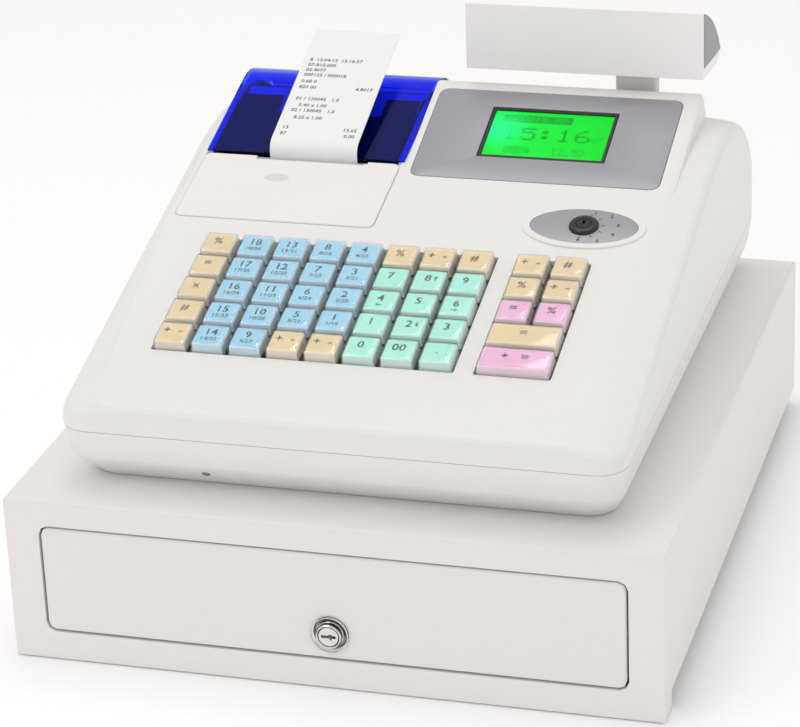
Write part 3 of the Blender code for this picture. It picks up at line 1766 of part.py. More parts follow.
def make_transformer():
    """Laminated core with its winding on end."""
    low = body_low + body_floor + seat_gap
    y = body_front + core_setback
    core_low = (core_side - core_width / 2, y - core_depth / 2, low)
    shape = box(core_low, (core_side + core_width / 2, y + core_depth / 2, low + core_height))
    core = new_object("transformer", shape, zinc_steel)
    gap = (core_height - coil_height) / 2
    coil_low = (core_side - coil_width / 2, y - coil_depth / 2, low + gap)
    fuse(core, box(coil_low, (core_side + coil_width / 2, y + coil_depth / 2, low + gap + coil_height)))


def make_power_inlet():
    """Three-pin socket in the back wall."""
    wall_y = body_rear
    low = (inlet_side - inlet_width / 2, wall_y - inlet_depth, inlet_height - inlet_rise / 2)
    high = (inlet_side + inlet_width / 2, wall_y + inlet_flange_depth / 2, inlet_height + inlet_rise / 2)
    inlet = new_object("power_inlet", box(low, high), dark_plastic)
    edge = inlet_flange
    flange_low = (low[0] - edge, wall_y + seat_gap, low[2] - edge / 2)
    fuse(inlet, box(flange_low, (high[0] + edge, wall_y + inlet_flange_depth, high[2] + edge / 2)))
    inner = inlet_recess
    recess_low = (low[0] + inner, wall_y - inlet_recess_depth, low[2] + inner)
    cut(inlet, box(recess_low, (high[0] - inner, wall_y + overrun, high[2] - inner)))
    for place in (-1, 0, 1):
        x = inlet_side + place * inlet_pin_spacing
        half = inlet_pin_width / 2
        base = wall_y - inlet_recess_depth - inlet_pin_width
        pin_low = (x - half, base, inlet_height - inlet_pin_height / 2)
        fuse(inlet, box(pin_low, (x + half, base + inlet_pin_length, inlet_height + inlet_pin_height / 2)))


def main():
    for old in list(bpy.data.objects):
        bpy.data.objects.remove(old, do_unlink=True)
    drawer = empty("drawer", Matrix())
    deck = empty("deck", deck_frame)
    face = empty("display_face", display_frame)
    make_drawer_case()
    make_base_pan()
    make_feet()
    make_rails()
    make_drawer_box(drawer)
    make_drawer_front(drawer)
    make_till_tray(drawer)
    make_coin_tray(drawer)
    make_note_clips(drawer)
    make_drawer_lock(drawer)
    make_release()
    make_lower_housing()
    make_upper_housing()
    make_key_plate(deck)
    make_keys(deck)
    make_mode_lock(deck)
    make_operator_display(face)
    make_printer_cover(deck)
    make_roll_window()
    make_platen()
    make_paper()
    make_printer_frame()
    make_customer_post()
    make_customer_display()
    make_main_board()
    make_transformer()
    make_power_inlet()


main()
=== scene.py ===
"""Looks of an electronic cash register on its steel cash drawer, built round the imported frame.

Sizes are in metres. The front faces -Y, +X is the operator's right and the feet stand on Z = 0.
"""

import math

import bmesh
import bpy
from mathutils import Matrix, Vector
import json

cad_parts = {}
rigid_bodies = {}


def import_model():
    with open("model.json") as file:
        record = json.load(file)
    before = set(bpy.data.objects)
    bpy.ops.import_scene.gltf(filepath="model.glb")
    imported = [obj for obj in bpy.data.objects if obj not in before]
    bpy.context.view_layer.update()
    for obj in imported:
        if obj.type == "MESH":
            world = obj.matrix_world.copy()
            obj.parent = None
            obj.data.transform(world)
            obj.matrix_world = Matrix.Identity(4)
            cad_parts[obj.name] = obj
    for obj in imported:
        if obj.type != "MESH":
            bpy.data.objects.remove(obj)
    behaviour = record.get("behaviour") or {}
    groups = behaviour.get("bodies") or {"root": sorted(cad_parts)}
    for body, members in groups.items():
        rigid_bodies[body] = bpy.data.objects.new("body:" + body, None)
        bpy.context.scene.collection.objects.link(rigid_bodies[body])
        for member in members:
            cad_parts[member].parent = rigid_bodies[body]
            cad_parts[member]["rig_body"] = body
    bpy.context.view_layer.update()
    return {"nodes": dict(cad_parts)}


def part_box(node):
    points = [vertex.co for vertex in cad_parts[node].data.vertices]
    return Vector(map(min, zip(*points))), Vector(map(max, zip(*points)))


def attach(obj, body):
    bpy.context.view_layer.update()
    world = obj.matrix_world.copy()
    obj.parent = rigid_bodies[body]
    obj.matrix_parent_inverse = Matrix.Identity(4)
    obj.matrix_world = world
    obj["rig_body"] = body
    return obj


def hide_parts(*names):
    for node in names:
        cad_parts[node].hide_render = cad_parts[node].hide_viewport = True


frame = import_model()
for spare in ("Cube", "Light", "Camera"):
    if spare in bpy.data.objects:
        bpy.data.objects.remove(bpy.data.objects[spare])

quarter = math.pi / 2
half_turn = 2 * quarter
full_turn = 4 * quarter


def turned(place, angle, axis="X"):
    """A frame at a place, turned about an axis."""
    return Matrix.Translation(place) @ Matrix.Rotation(angle, 4, axis)


# Places read from the frame
housing_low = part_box("upper_housing")[0]
cover_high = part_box("printer_cover")[1]
receipt_low, receipt_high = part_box("receipt")
collar_low, collar_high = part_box("lock_collar")
knob_low, knob_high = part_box("mode_lock")
window_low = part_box("roll_window")[0]

# The sloping deck and the operator display's face, as the solids have them
lip_radius = 0.003
lip_height = 0.1605
lip_y = housing_low.y + lip_radius
deck_angle = math.radians(14.3)
deck = turned((0, lip_y, lip_height), deck_angle)
display_setback = 0.244
display_angle = math.radians(18.9)
display_y = housing_low.y + display_setback
display_z = lip_height + (display_y - lip_y) * math.tan(deck_angle)
display_face = turned((0, display_y, display_z), display_angle)


# Shapes

block_edge = 0.0004
block_steps = 2


def arc(centre, radius, start, end, steps):
    """Points along part of a circle, both ends included."""
    points = []
    for step in range(steps + 1):
        angle = start + (end - start) * step / steps
        points.append((centre[0] + radius * math.cos(angle), centre[1] + radius * math.sin(angle)))
    return points


def rounded_rectangle(low, high, radius, steps):
    """An outline with round corners."""
    middles = (
        (high[0] - radius, high[1] - radius),
        (low[0] + radius, high[1] - radius),
        (low[0] + radius, low[1] + radius),
        (high[0] - radius, low[1] + radius),
    )
    points = []
    for turn, middle in enumerate(middles):
        points += arc(middle, radius, turn * quarter, (turn + 1) * quarter, steps)
    return points


def ellipse(centre, width, length, sides):
    """An oval outline."""
    circle = arc((0, 0), 1, 0, full_turn, sides)[:-1]
    return [(centre[0] + x * width / 2, centre[1] + y * length / 2) for x, y in circle]


def placed(points, height, matrix):
    """An outline's points at a height in a matrix's frame."""
    return [matrix @ Vector((x, y, height)) for x, y in points]


def loft(shape, rings, closed=False, paint=0):
    """Skin rings of equal length in a shape that may hold others, with flat ends."""
    rows = [[shape.verts.new(point) for point in ring] for ring in rings]
    pairs = list(zip(rows, rows[1:]))
    if closed:
        pairs.append((rows[-1], rows[0]))
    else:
        shape.faces.new(reversed(rows[0])).material_index = paint
        shape.faces.new(rows[-1]).material_index = paint
    for lower, upper in pairs:
        for index, vert in enumerate(lower):
            after = (index + 1) % len(lower)
            face = shape.faces.new((vert, lower[after], upper[after], upper[index]))
            face.material_index = paint


def prism(shape, outline, heights, matrix, paint=0):
    """An outline drawn out between two heights."""
    loft(shape, [placed(outline, height, matrix) for height in heights], paint=paint)


def moulded(shape, outline, profile, matrix, paint=0):
    """Skin outline(inset) at each (inset, height) of a profile, placed by a matrix."""
    loft(shape, [placed(outline(inset), height, matrix) for inset, height in profile], paint=paint)


def lathe(shape, profile, matrix, sides, paint=0, closed=False):
    """Turn a profile of (radius, height) about the Z axis of a matrix."""
    rings = []
    for radius, height in profile:
        circle = arc((0, 0), radius, 0, full_turn, sides)[:-1]
        rings.append(placed(circle, height, matrix))
    loft(shape, rings, closed, paint)


def soft_profile(low, high, edge, steps=3):
    """A profile with straight sides and a rounded upper edge."""
    profile = [(0, low)]
    for step in range(steps + 1):
        turn = quarter * step / steps
        profile.append((edge * (1 - math.cos(turn)), high - edge + edge * math.sin(turn)))
    return profile


def block(shape, low, high, matrix, edge=block_edge, paint=0):
    """A box with eased upright and upper edges."""

    def outline(inset):
        near = (low[0] + inset, low[1] + inset)
        far = (high[0] - inset, high[1] - inset)
        return rounded_rectangle(near, far, max(edge - inset, edge / 4), block_steps)

    moulded(shape, outline, soft_profile(low[2], high[2], edge, block_steps), matrix, paint)


# Objects

soft_angle = math.radians(35)
bevel_angle = math.radians(40)
bevel_steps = 2
flat_angle = math.radians(0.6)
merge_digits = 6
merge_distance = 0.000001
figure_share = 0.72
stroke_share = 0.022
figure_depth = 0.00006
figure_curve_steps = 2
dot_fill_share = 0.88
dot_columns = 5
dot_rows = {
    "0": (14, 17, 17, 17, 17, 17, 14),
    "1": (4, 12, 4, 4, 4, 4, 14),
    "2": (14, 17, 1, 2, 4, 8, 31),
    "3": (14, 17, 1, 6, 1, 17, 14),
    "4": (2, 6, 10, 18, 31, 2, 2),
    "5": (31, 16, 30, 1, 1, 17, 14),
    "6": (6, 8, 16, 30, 17, 17, 14),
    "7": (31, 1, 2, 4, 8, 8, 8),
    "8": (14, 17, 17, 14, 17, 17, 14),
    "9": (14, 17, 17, 15, 1, 2, 12),
    ":": (0, 12, 12, 0, 12, 12, 0),
    ".": (0, 0, 0, 0, 0, 12, 12),
    "-": (0, 0, 0, 14, 0, 0, 0),
    " ": (0, 0, 0, 0, 0, 0, 0),
}
arrow_half_share = 0.32
arrow_neck_share = 0.09
arrow_barb_share = 0.1


def mesh_of(name, shape):
    """The mesh of a shape, which is used up."""
    mesh = bpy.data.meshes.new(name)
    shape.to_mesh(mesh)
    shape.free()
    return mesh


def new_object(name, data):
    """An object in the scene."""
    made = bpy.data.objects.new(name, data)
    bpy.context.scene.collection.objects.link(made)
    return made


def make_piece(name, shape, body, finishes, nodes=()):
    """A finished piece that rides on a body and may stand for nodes."""
    bmesh.ops.recalc_face_normals(shape, faces=shape.faces)
    mesh = mesh_of(name, shape)
    mesh.shade_smooth()
    mesh.set_sharp_from_angle(angle=soft_angle)
    for finish in finishes:
        mesh.materials.append(finish)
    piece = new_object(name, mesh)
    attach(piece, body)
    if nodes:
        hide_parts(*nodes)
    return piece


def whole_shape(node):
    """A node's surface with its triangles joined into whole faces again."""
    mesh = frame["nodes"][node].data
    shape = bmesh.new()
    found = {}
    for polygon in mesh.polygons:
        corners = []
        for index in polygon.vertices:
            place = mesh.vertices[index].co
            key = tuple(round(value, merge_digits) for value in place)
            if key not in found:
                found[key] = shape.verts.new(place)
            corners.append(found[key])
        if len(set(corners)) == 3:
            shape.faces.new(corners)
    bmesh.ops.dissolve_limit(shape, angle_limit=flat_angle, verts=shape.verts, edges=shape.edges)
    return shape


def dress(node, finish, edge=0.0):
    """A copy of a node with eased edges and even shading, in a finish."""
    body = frame["nodes"][node]["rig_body"]
    piece = make_piece(node + "_dressed", whole_shape(node), body, [finish], [node])
    if edge:
        bevel = piece.modifiers.new("eased_edges", "BEVEL")
        bevel.width = edge
        bevel.segments = bevel_steps
        bevel.limit_method = "ANGLE"
        bevel.angle_limit = bevel_angle
        bevel.miter_outer = "MITER_ARC"
    normals = piece.modifiers.new("even_normals", "WEIGHTED_NORMAL")
    normals.keep_sharp = True


def dress_each(rows):
    """Dress the nodes that each row of a table names."""
    for nodes, finish, slot, edge in rows:
        for node in nodes.split():
            dress(node, finish, edge)


def lettering(shape, text, height, place, depth=figure_depth, paint=0, align="CENTER", bend=None):
    """Solid bold figures of a given height in a shape, centred on the matrix's origin."""
    curve = bpy.data.curves.new("lettering", "FONT")
    curve.body = text
    curve.align_x = align
    curve.align_y = "CENTER"
    curve.size = height / figure_share
    curve.extrude = depth / 2
    curve.offset = height * stroke_share
    curve.resolution_u = figure_curve_steps
    holder = new_object("lettering", curve)
    mesh = bpy.data.meshes.new_from_object(holder)
    bpy.data.objects.remove(holder)
    bpy.data.curves.remove(curve)
    letters = bmesh.new()
    letters.from_mesh(mesh)
    bpy.data.meshes.remove(mesh)
    bmesh.ops.remove_doubles(letters, verts=letters.verts, dist=merge_distance)
    made = {}
    for vert in letters.verts:
        spot = place @ vert.co
        made[vert] = shape.verts.new(bend(spot) if bend else spot)
    for face in letters.faces:
        shape.faces.new([made[vert] for vert in face.verts]).material_index = paint
    letters.free()


def dot_figures(shape, text, height, place, depth, paint, width_share=1.0):
    """Figures of square dots, as on a dot screen, centred on the matrix's origin."""
    pitch = height / len(dot_rows[" "])
    width = pitch * width_share
    half = dot_fill_share / 2
    advance = dot_columns + 1
    start = -width * (advance * len(text) - 1) / 2
    for place_in_line, figure in enumerate(text):
        for row, bits in enumerate(dot_rows[figure]):
            for column in range(dot_columns):
                if not bits >> (dot_columns - 1 - column) & 1:
                    continue
                x = start + width * (advance * place_in_line + column + 0.5)
                y = height / 2 - pitch * (row + 0.5)
                corners = []
                for across, along in ((-1, -1), (1, -1), (1, 1), (-1, 1)):
                    corners.append((x + across * width * half, y + along * pitch * half))
                prism(shape, corners, (0, depth), place, paint)


def add_arrow(shape, place, length, turn, paint):
    """A small solid arrow."""
    half = length * arrow_half_share
    neck = length * arrow_neck_share
    barb = length * arrow_barb_share
    outline = [(-length / 2, -neck), (barb, -neck), (barb, -half), (length / 2, 0)]
    outline += [(x, -y) for x, y in outline[-2::-1]]
    heights = (-figure_depth / 2, figure_depth / 2)
    prism(shape, outline, heights, place @ Matrix.Rotation(turn, 4, "Z"), paint)


# Finishes

gloss_spread = 0.15
gloss_fineness = 7
dark_reflection_stops = (0.25, 0.46, 0.72)


def rgb(red, green, blue):
    """A colour given as a screen shows it, from 0 to 255, in linear values."""
    levels = []
    for value in (red, green, blue):
        share = value / 255
        levels.append(share / 12.92 if share < 0.04045 else ((share + 0.055) / 1.055) ** 2.4)
    return tuple(levels)


class Finish:
    """A procedural material that can drift in colour and gloss and can have a grain."""

    def __init__(self, name, colour, roughness, metallic=0.0, **sockets):
        self.material = bpy.data.materials.new(name)
        self.material.use_nodes = True
        self.tree = self.material.node_tree
        self.shader = self.tree.nodes["Principled BSDF"]
        self.colour = colour
        self.roughness = roughness
        self.set("Base Color", (*colour, 1))
        self.set("Roughness", roughness)
        self.set("Metallic", metallic)
        for socket, value in sockets.items():
            self.set(socket.replace("_", " "), value)

    def set(self, socket, value):
        self.shader.inputs[socket].default_value = value

    def node(self, kind, **values):
        made = self.tree.nodes.new(kind)
        for key, value in values.items():
            socket = key.replace("_", " ")
            if socket in made.inputs:
                made.inputs[socket].default_value = value
            else:
                setattr(made, key, value)
        return made

    def link(self, start, end):
        self.tree.links.new(start, end)

    def noise(self, scale, stretch=(1, 1, 1), detail=3.0):
        """A noise field in metres, drawn out along an axis where a stretch is under one."""
        place = self.node("ShaderNodeTexCoord")
        mapping = self.node("ShaderNodeMapping", Scale=stretch)
        field = self.node("ShaderNodeTexNoise", Scale=scale, Detail=detail)
        self.link(place.outputs["Object"], mapping.inputs["Vector"])
        self.link(mapping.outputs["Vector"], field.inputs["Vector"])
        return field.outputs["Fac"]

    def drift(self, scale, share, stretch=(1, 1, 1)):
        """The colour and the gloss drift by a share of themselves over patches."""
        field = self.noise(scale, stretch)
        mix = self.node("ShaderNodeMix", data_type="RGBA")
        sides = [side for side in mix.inputs if side.type == "RGBA"]
        for side, level in zip(sides, (1 - share, 1 + share)):
            side.default_value = (*(value * level for value in self.colour), 1)
        self.link(field, mix.inputs[0])
        result = [side for side in mix.outputs if side.type == "RGBA"][0]
        self.link(result, self.shader.inputs["Base Color"])
        low, high = (self.roughness * level for level in (1 - gloss_spread, 1 + gloss_spread))
        spread = self.node("ShaderNodeMapRange", To_Min=low, To_Max=high)
        self.link(self.noise(scale * gloss_fineness, stretch), spread.inputs["Value"])
        self.link(spread.outputs["Result"], self.shader.inputs["Roughness"])
        return self

    def contrast(self, dark):
        """Painted reflection: the plating's colour darkens where it turns half away, as chrome's reflections
        do in a pale room.
        """
        facing = self.node("ShaderNodeLayerWeight", Blend=0.5)
        ramp = self.node("ShaderNodeValToRGB")
        first, middle, last = dark_reflection_stops
        for stop, position in zip(ramp.color_ramp.elements, (first, last)):
            stop.color = (*self.colour, 1)
            stop.position = position
        ramp.color_ramp.elements.new(middle).color = (*dark, 1)
        self.link(facing.outputs["Facing"], ramp.inputs["Fac"])
        self.link(ramp.outputs["Color"], self.shader.inputs["Base Color"])
        return self

    def grain(self, scale, depth, stretch=(1, 1, 1)):
        """Relief of a given depth at a given scale."""
        bump = self.node("ShaderNodeBump", Strength=0.6, Distance=depth)
        self.link(self.noise(scale, stretch, detail=2.0), bump.inputs["Height"])
        self.link(bump.outputs["Normal"], self.shader.inputs["Normal"])
        return self


def finished(
    name, colour, roughness, metallic=0.0, patch=18, share=0.025, scale=1700, depth=0.00003,
    stretch=(1, 1, 1), **sockets,
):
    """A finish from the fineness and share of its patches and the fineness and depth of its grain."""
    made = Finish(name, colour, roughness, metallic, **sockets)
    return made.drift(patch, share, stretch).grain(scale, depth, stretch).material


paint_grain = {"share": 0.014, "scale": 900, "depth": 0.00006}
white_plastic = finished("white_moulding", rgb(238, 236, 234), 0.38, patch=12, share=0.012)
white_cover = finished("white_cover_moulding", rgb(242, 238, 237), 0.30, patch=20, share=0.012)
# Darker grey of the raised oval on the cover: painted shade of its emboss.
oval_painted_shade = finished("oval_painted_shade_moulding", rgb(224, 219, 218), 0.4, patch=30, share=0.012)
panel_plastic = finished("pale_panel_moulding", rgb(252, 247, 248), 0.42, patch=14, share=0.015)
case_paint = finished("case_paint", rgb(238, 234, 233), 0.46, **paint_grain)
front_paint = finished("front_paint", rgb(236, 232, 231), 0.44, **paint_grain)
bezel_grey = finished("bezel_grey", rgb(163, 162, 168), 0.30, 0.25, patch=40, share=0.03, scale=2600)
plate_grey = finished(
    "switch_plate_grey", rgb(167, 166, 171), 0.34, 0.3, patch=40, share=0.02, scale=2600
)
post_grey = finished("post_grey", rgb(220, 216, 212), 0.45, patch=50, share=0.04)
black_plastic = finished("black_moulding", rgb(28, 28, 31), 0.36, patch=30, share=0.12, depth=0.00005)
knob_black = finished("knob_black", rgb(30, 30, 32), 0.22, patch=60, share=0.10, depth=0.00002)
# Dark guide plate under the keys, also used as painted shade for the lock's keyway and the screw's ring and
# cross recess.
plate_and_shade_black = finished("plate_and_painted_shade_black", rgb(88, 82, 79), 0.6, patch=60, share=0.10)
rubber = finished("rubber", rgb(30, 30, 30), 0.85, patch=90, share=0.15, scale=1200, depth=0.00008)
zinc = finished("zinc_steel", rgb(190, 192, 194), 0.34, 0.9, patch=70, share=0.06, stretch=(1, 0.12, 1))
bright_steel = finished("bright_steel", rgb(205, 205, 206), 0.20, 1.0, patch=80, stretch=(0.1, 1, 1))
# Nickel plating whose colour carries a painted dark reflection on its half-turned faces.
nickel_finish = Finish("nickel_plate_painted_reflection", rgb(222, 220, 218), 0.14, 1.0)
nickel_painted_reflection = nickel_finish.drift(120, 0.04).contrast(rgb(62, 58, 58)).grain(2400, 0.00001).material
till_black = finished(
    "till_moulding", rgb(40, 40, 43), 0.5, patch=26, share=0.12, scale=1300, depth=0.00007
)
roller_black = finished("roller_rubber", rgb(36, 36, 38), 0.72, patch=110, share=0.12, scale=1500)
lamination = finished("lamination", rgb(92, 90, 92), 0.5, 0.6, patch=50, share=0.15, stretch=(1, 14, 1))
receipt_paper = finished("receipt_paper", rgb(243, 243, 243), 0.72, patch=60, share=0.012, scale=2100)
roll_paper = finished(
    "roll_paper", rgb(238, 237, 233), 0.75, patch=40, share=0.03, scale=700, depth=0.00012, stretch=(8, 1, 1)
)
printed_ink = finished("printed_ink", rgb(78, 78, 86), 0.6, patch=300, share=0.2)
legend_ink = finished("legend_ink", rgb(26, 24, 34), 0.5, patch=300, share=0.15)
# Dark navy for the sheet under the roll window: painted shade of the dark inside.
painted_shade_navy = finished("painted_shade_navy", rgb(16, 18, 24), 0.5, patch=40, share=0.15)
gasket_black = finished("screen_surround", rgb(22, 26, 24), 0.35, patch=60, share=0.12)
clear_cap = finished(
    "clear_cap", rgb(252, 252, 252), 0.05, patch=80, share=0.01, depth=0.00001,
    Transmission_Weight=1.0, IOR=1.40, Alpha=0.35,
)
blue_window = finished(
    "clear_blue", rgb(58, 92, 255), 0.05, patch=60, share=0.03, depth=0.000006,
    Transmission_Weight=0.99, IOR=1.20,
)
smoke_window = finished(
    "smoke_grey", rgb(172, 170, 173), 0.10, patch=60, share=0.03, depth=0.00001,
    Transmission_Weight=0.7, IOR=1.45,
)
glass = finished(
    "screen_pane", rgb(252, 254, 252), 0.03, patch=60, share=0.005, depth=0.000003,
    Transmission_Weight=1.0, IOR=1.10,
)

key_colours = {
    "tan": rgb(246, 221, 168),
    "blue": rgb(158, 224, 255),
    "mint": rgb(172, 255, 236),
    "pink": rgb(255, 190, 232),
}
pale_level = 0.95
pale_share = 0.62
key_finishes = {}
for name, colour in key_colours.items():
    pale = tuple(value + (pale_level - value) * pale_share for value in colour)
    key_finishes[name] = finished(name + "_key", colour, 0.35, patch=60, share=0.02)
    key_finishes[name + "_side"] = finished(name + "_key_side", pale, 0.3, patch=60, share=0.02)


def board_finish():
    """Green solder mask with copper tracks showing through."""
    made = Finish("board_green", rgb(22, 92, 48), 0.35).drift(60, 0.12)
    dark, light, track = ((*rgb(*levels), 1) for levels in ((20, 84, 44), (26, 104, 56), (60, 140, 84)))
    tracks = made.node("ShaderNodeTexBrick", Scale=110.0, Color1=dark, Color2=light, Mortar=track)
    place = made.node("ShaderNodeTexCoord")
    made.link(place.outputs["Object"], tracks.inputs["Vector"])
    made.link(tracks.outputs["Color"], made.shader.inputs["Base Color"])
    return made.grain(1500, 0.00004).material


screen_spot = rgb(30, 255, 150)
screen_reach = 0.075
screen_stops = (0.04, 0.30, 1.0)
unlit_share = 0.15


def screen_finish(name, deep, bright, strength, spot):
    """A backlight that is brightest and cooler near its lamp on the left."""
    made = Finish(name, bright, 0.4)
    place = made.node("ShaderNodeTexCoord")
    away = made.node("ShaderNodeVectorMath", operation="DISTANCE")
    away.inputs[1].default_value = spot
    made.link(place.outputs["Object"], away.inputs[0])
    ramp = made.node("ShaderNodeValToRGB")
    reach = made.node("ShaderNodeMapRange", From_Max=screen_reach)
    made.link(away.outputs["Value"], reach.inputs["Value"])
    made.link(reach.outputs["Result"], ramp.inputs["Fac"])
    stops = ramp.color_ramp.elements
    stops[0].color = (*screen_spot, 1)
    stops[0].position = screen_stops[0]
    stops[1].color = (*bright, 1)
    stops[1].position = screen_stops[1]
    stops.new(screen_stops[2]).color = (*deep, 1)
    made.link(ramp.outputs["Color"], made.shader.inputs["Emission Color"])
    made.set("Emission Strength", strength)
    made.set("Specular IOR Level", 0.1)
    made.set("Base Color", (*(value * unlit_share for value in deep), 1))
    return made.grain(5200, 0.00001).material


# Steel case, drawer and lock

case_rows = (
    ("drawer_case", case_paint, "drawer_case", 0.0003),
    ("base_pan", zinc, "base_pan", 0.0003),
    ("foot_front_left foot_front_right foot_rear_left foot_rear_right", rubber, "rubber_feet", 0.0004),
    ("rail_left rail_right", zinc, "rails", 0.0002),
    ("release_bracket", zinc, "release", 0.0003),
    ("latch_lever", bright_steel, "release", 0.0003),
    ("drawer_box", zinc, "drawer_box", 0.0002),
    ("drawer_front", front_paint, "drawer_front", 0.0003),
    ("till_tray coin_tray", till_black, "till", 0.0005),
    ("clip_rod", bright_steel, "clip_rod", 0.0003),
    ("note_clip_1 note_clip_2 note_clip_3 note_clip_4", black_plastic, "note_clips", 0.0004),
    ("lock_cam", bright_steel, "lock", 0.0002),
)
lock_sides = 72
lock_bore = 0.0066
lock_rim = 0.0079
lock_neck = 0.0086
neck_end = 0.0046
flange_steps = ((0, -0.0044), (0, -0.0030), (-0.0002, -0.0026), (-0.0007, -0.0024), (-0.0011, -0.0026))
rim_steps = ((0.0004, -0.0039), (0, -0.0036), (0, -0.0005), (-0.0005, 0))
bore_steps = ((0.0003, 0), (0, -0.0004))
plug_edge = 0.0002
keyway_levels = (-0.0002, 0.00005)
keyway_shares = (
    (-0.68, -0.06), (-0.50, 0.12), (-0.16, 0.08), (0.06, 0.26), (0.36, 0.24), (0.44, 0.02),
    (0.28, -0.06), (0.32, -0.32), (0.14, -0.28), (0.10, -0.08), (-0.24, -0.10), (-0.52, -0.17),
)


def stepped(radius, steps):
    """A turned profile's points, given as steps from a radius."""
    return [(radius + out, height) for out, height in steps]


def make_lock():
    """Turned collar with a dished flange, and a plug with a keyway painted as dark shade on its face."""
    lock_x = (collar_low.x + collar_high.x) / 2
    lock_z = (collar_low.z + collar_high.z) / 2
    flange_radius = (collar_high.x - collar_low.x) / 2
    depth = collar_high.y - collar_low.y
    out = turned((lock_x, collar_low.y, lock_z), quarter)
    profile = [(lock_neck, -depth), (lock_neck, -neck_end)]
    profile += stepped(flange_radius, flange_steps)
    profile += stepped(lock_rim, rim_steps)
    profile += stepped(lock_bore, bore_steps)
    profile.append((lock_bore, -depth))
    shape = bmesh.new()
    lathe(shape, profile, out, lock_sides, closed=True)
    make_piece("lock_collar_turned", shape, "drawer", [nickel_painted_reflection], ["lock_collar"])

    dress("lock_plug", nickel_painted_reflection, plug_edge)
    # The keyway is a thin dark patch on the plug's face: painted shade, not a cut.
    front = turned((lock_x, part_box("lock_plug")[0].y, lock_z), quarter)
    shape = bmesh.new()
    prism(shape, [(x * lock_bore, y * lock_bore) for x, y in keyway_shares], keyway_levels, front)
    make_piece("lock_keyway", shape, "lock", [plate_and_shade_black])


# Register body

screw_place = (-0.0820, -0.1960, 0.1181)
screw_lean = math.radians(43.5)
screw_sides = 40
screw_ring = ((0.0026, -0.0010), (0.0026, 0.0001), (0.0024, 0.0002), (0.0004, 0.0002))
screw_head = ((0.0020, 0.0001), (0.0020, 0.0003), (0.0015, 0.0007), (0.0003, 0.0008))
screw_slot = ((-0.0012, -0.0002, 0.0006), (0.0012, 0.0002, 0.00084))
screw_slot_edge = 0.00004
body_rows = (
    ("upper_housing lower_housing", white_plastic, "housing", 0.0),
    ("printer_frame", black_plastic, "printer", 0.0003),
    ("transformer", lamination, "transformer", 0.0004),
    ("power_inlet", black_plastic, "inlet", 0.0002),
    ("main_board", board_finish(), "board", 0.0001),
    ("customer_post", post_grey, "post", 0.0003),
)
socket_start = 0.2042


def make_screw():
    """Cross-head screw in a dark ring in the body's undercut front; the ring and the cross recess are
    painted shade.
    """
    out = turned(screw_place, half_turn - screw_lean)
    shape = bmesh.new()
    # The dark ring round the head is painted shade of the hole the screw sits in.
    lathe(shape, screw_ring, out, screw_sides, paint=1)
    lathe(shape, screw_head, out, screw_sides)
    # The cross recess is dark blocks of painted shade, not a cut.
    for turn in (0, quarter):
        block(shape, *screw_slot, out @ Matrix.Rotation(turn, 4, "Z"), screw_slot_edge, 1)
    make_piece("front_screw", shape, "register", [nickel_painted_reflection, plate_and_shade_black])


def blacken_sockets():
    """Give the board's two sockets at the back a black casing."""
    board = bpy.data.objects["main_board_dressed"]
    board.data.materials.append(black_plastic)
    for polygon in board.data.polygons:
        polygon.material_index = int(polygon.center.y > socket_start)


# Keyboard

key_pitch = 0.0236
key_row_pitch = 0.0232
first_column = -0.1186
first_row = 0.0680
function_column = 0.0816
key_base = 0.0214
key_top = 0.0184
key_rise = 0.0060
key_sink = 0.0020
key_corner = 0.0014
key_corner_steps = 3
plate_level = 0.0060
plate_thickness = 0.0020
plate_margin = 0.003
cap_gap = 0.00012
cap_wall = 0.0007
cap_edge = 0.0009
cap_taper_share = 0.55
core_shoulder = 0.0006
core_slope = 0.0004
core_lip = 0.0002
label_inset = 0.0021
label_thickness = 0.00025
single_height = 0.0062
single_place = (-0.0006, 0.0016)
pair_heights = (0.0060, 0.0034)
pair_places = ((-0.0002, 0.0026), (-0.0002, -0.0038))
key_arrow_length = 0.0042
upright_place = (0.0042, 0.0018)
level_place = (-0.0006, -0.0046)
key_arrows = {
    "8": (quarter, upright_place),
    "2": (-quarter, upright_place),
    "4": (half_turn, level_place),
    "6": (0, level_place),
}

main_columns = 8
number_column = 5
number_names = (("0", "00", "point"), ("1", "2", "3"), ("4", "5", "6"), ("7", "8", "9"))
column_tops = {1: (18, 36), 2: (13, 31), 3: (8, 26), 4: (4, 22)}
short_columns = (3, 4)
sign_rows = ("+  -", "#", "x", "=", "%")
function_rows = ((4, "tan"), (3, "tan"), (2, "pink"))
wide_keys = ((1, "tan", "=", "key_subtotal"), (0, "pink", "+   =", "key_cash"))


def key_middle(column, row):
    """A key's middle in the deck's frame: the main block first, then the two function columns."""
    if column < main_columns:
        return first_column + column * key_pitch, first_row + row * key_row_pitch
    return function_column + (column - main_columns) * key_pitch, first_row + row * key_row_pitch


def key_outline(centre, extra):
    """The outline of a key, wider by an extra, as a function of the inset."""

    def outline(inset):
        half = key_base / 2 - inset
        low = (centre[0] - half - extra / 2, centre[1] - half)
        high = (centre[0] + half + extra / 2, centre[1] + half)
        return rounded_rectangle(low, high, max(key_corner - inset / 2, key_corner / 3), key_corner_steps)

    return outline


def cap_profile(inset, lower):
    """The cap's side from its skirt to its top, moved in by an inset and with its top lower."""
    taper = (key_base - key_top) / 2 * cap_taper_share
    rounded = soft_profile(-key_sink, key_rise - lower, cap_edge)[1:]
    return [(inset, -key_sink)] + [(inset + taper + across, height) for across, height in rounded]


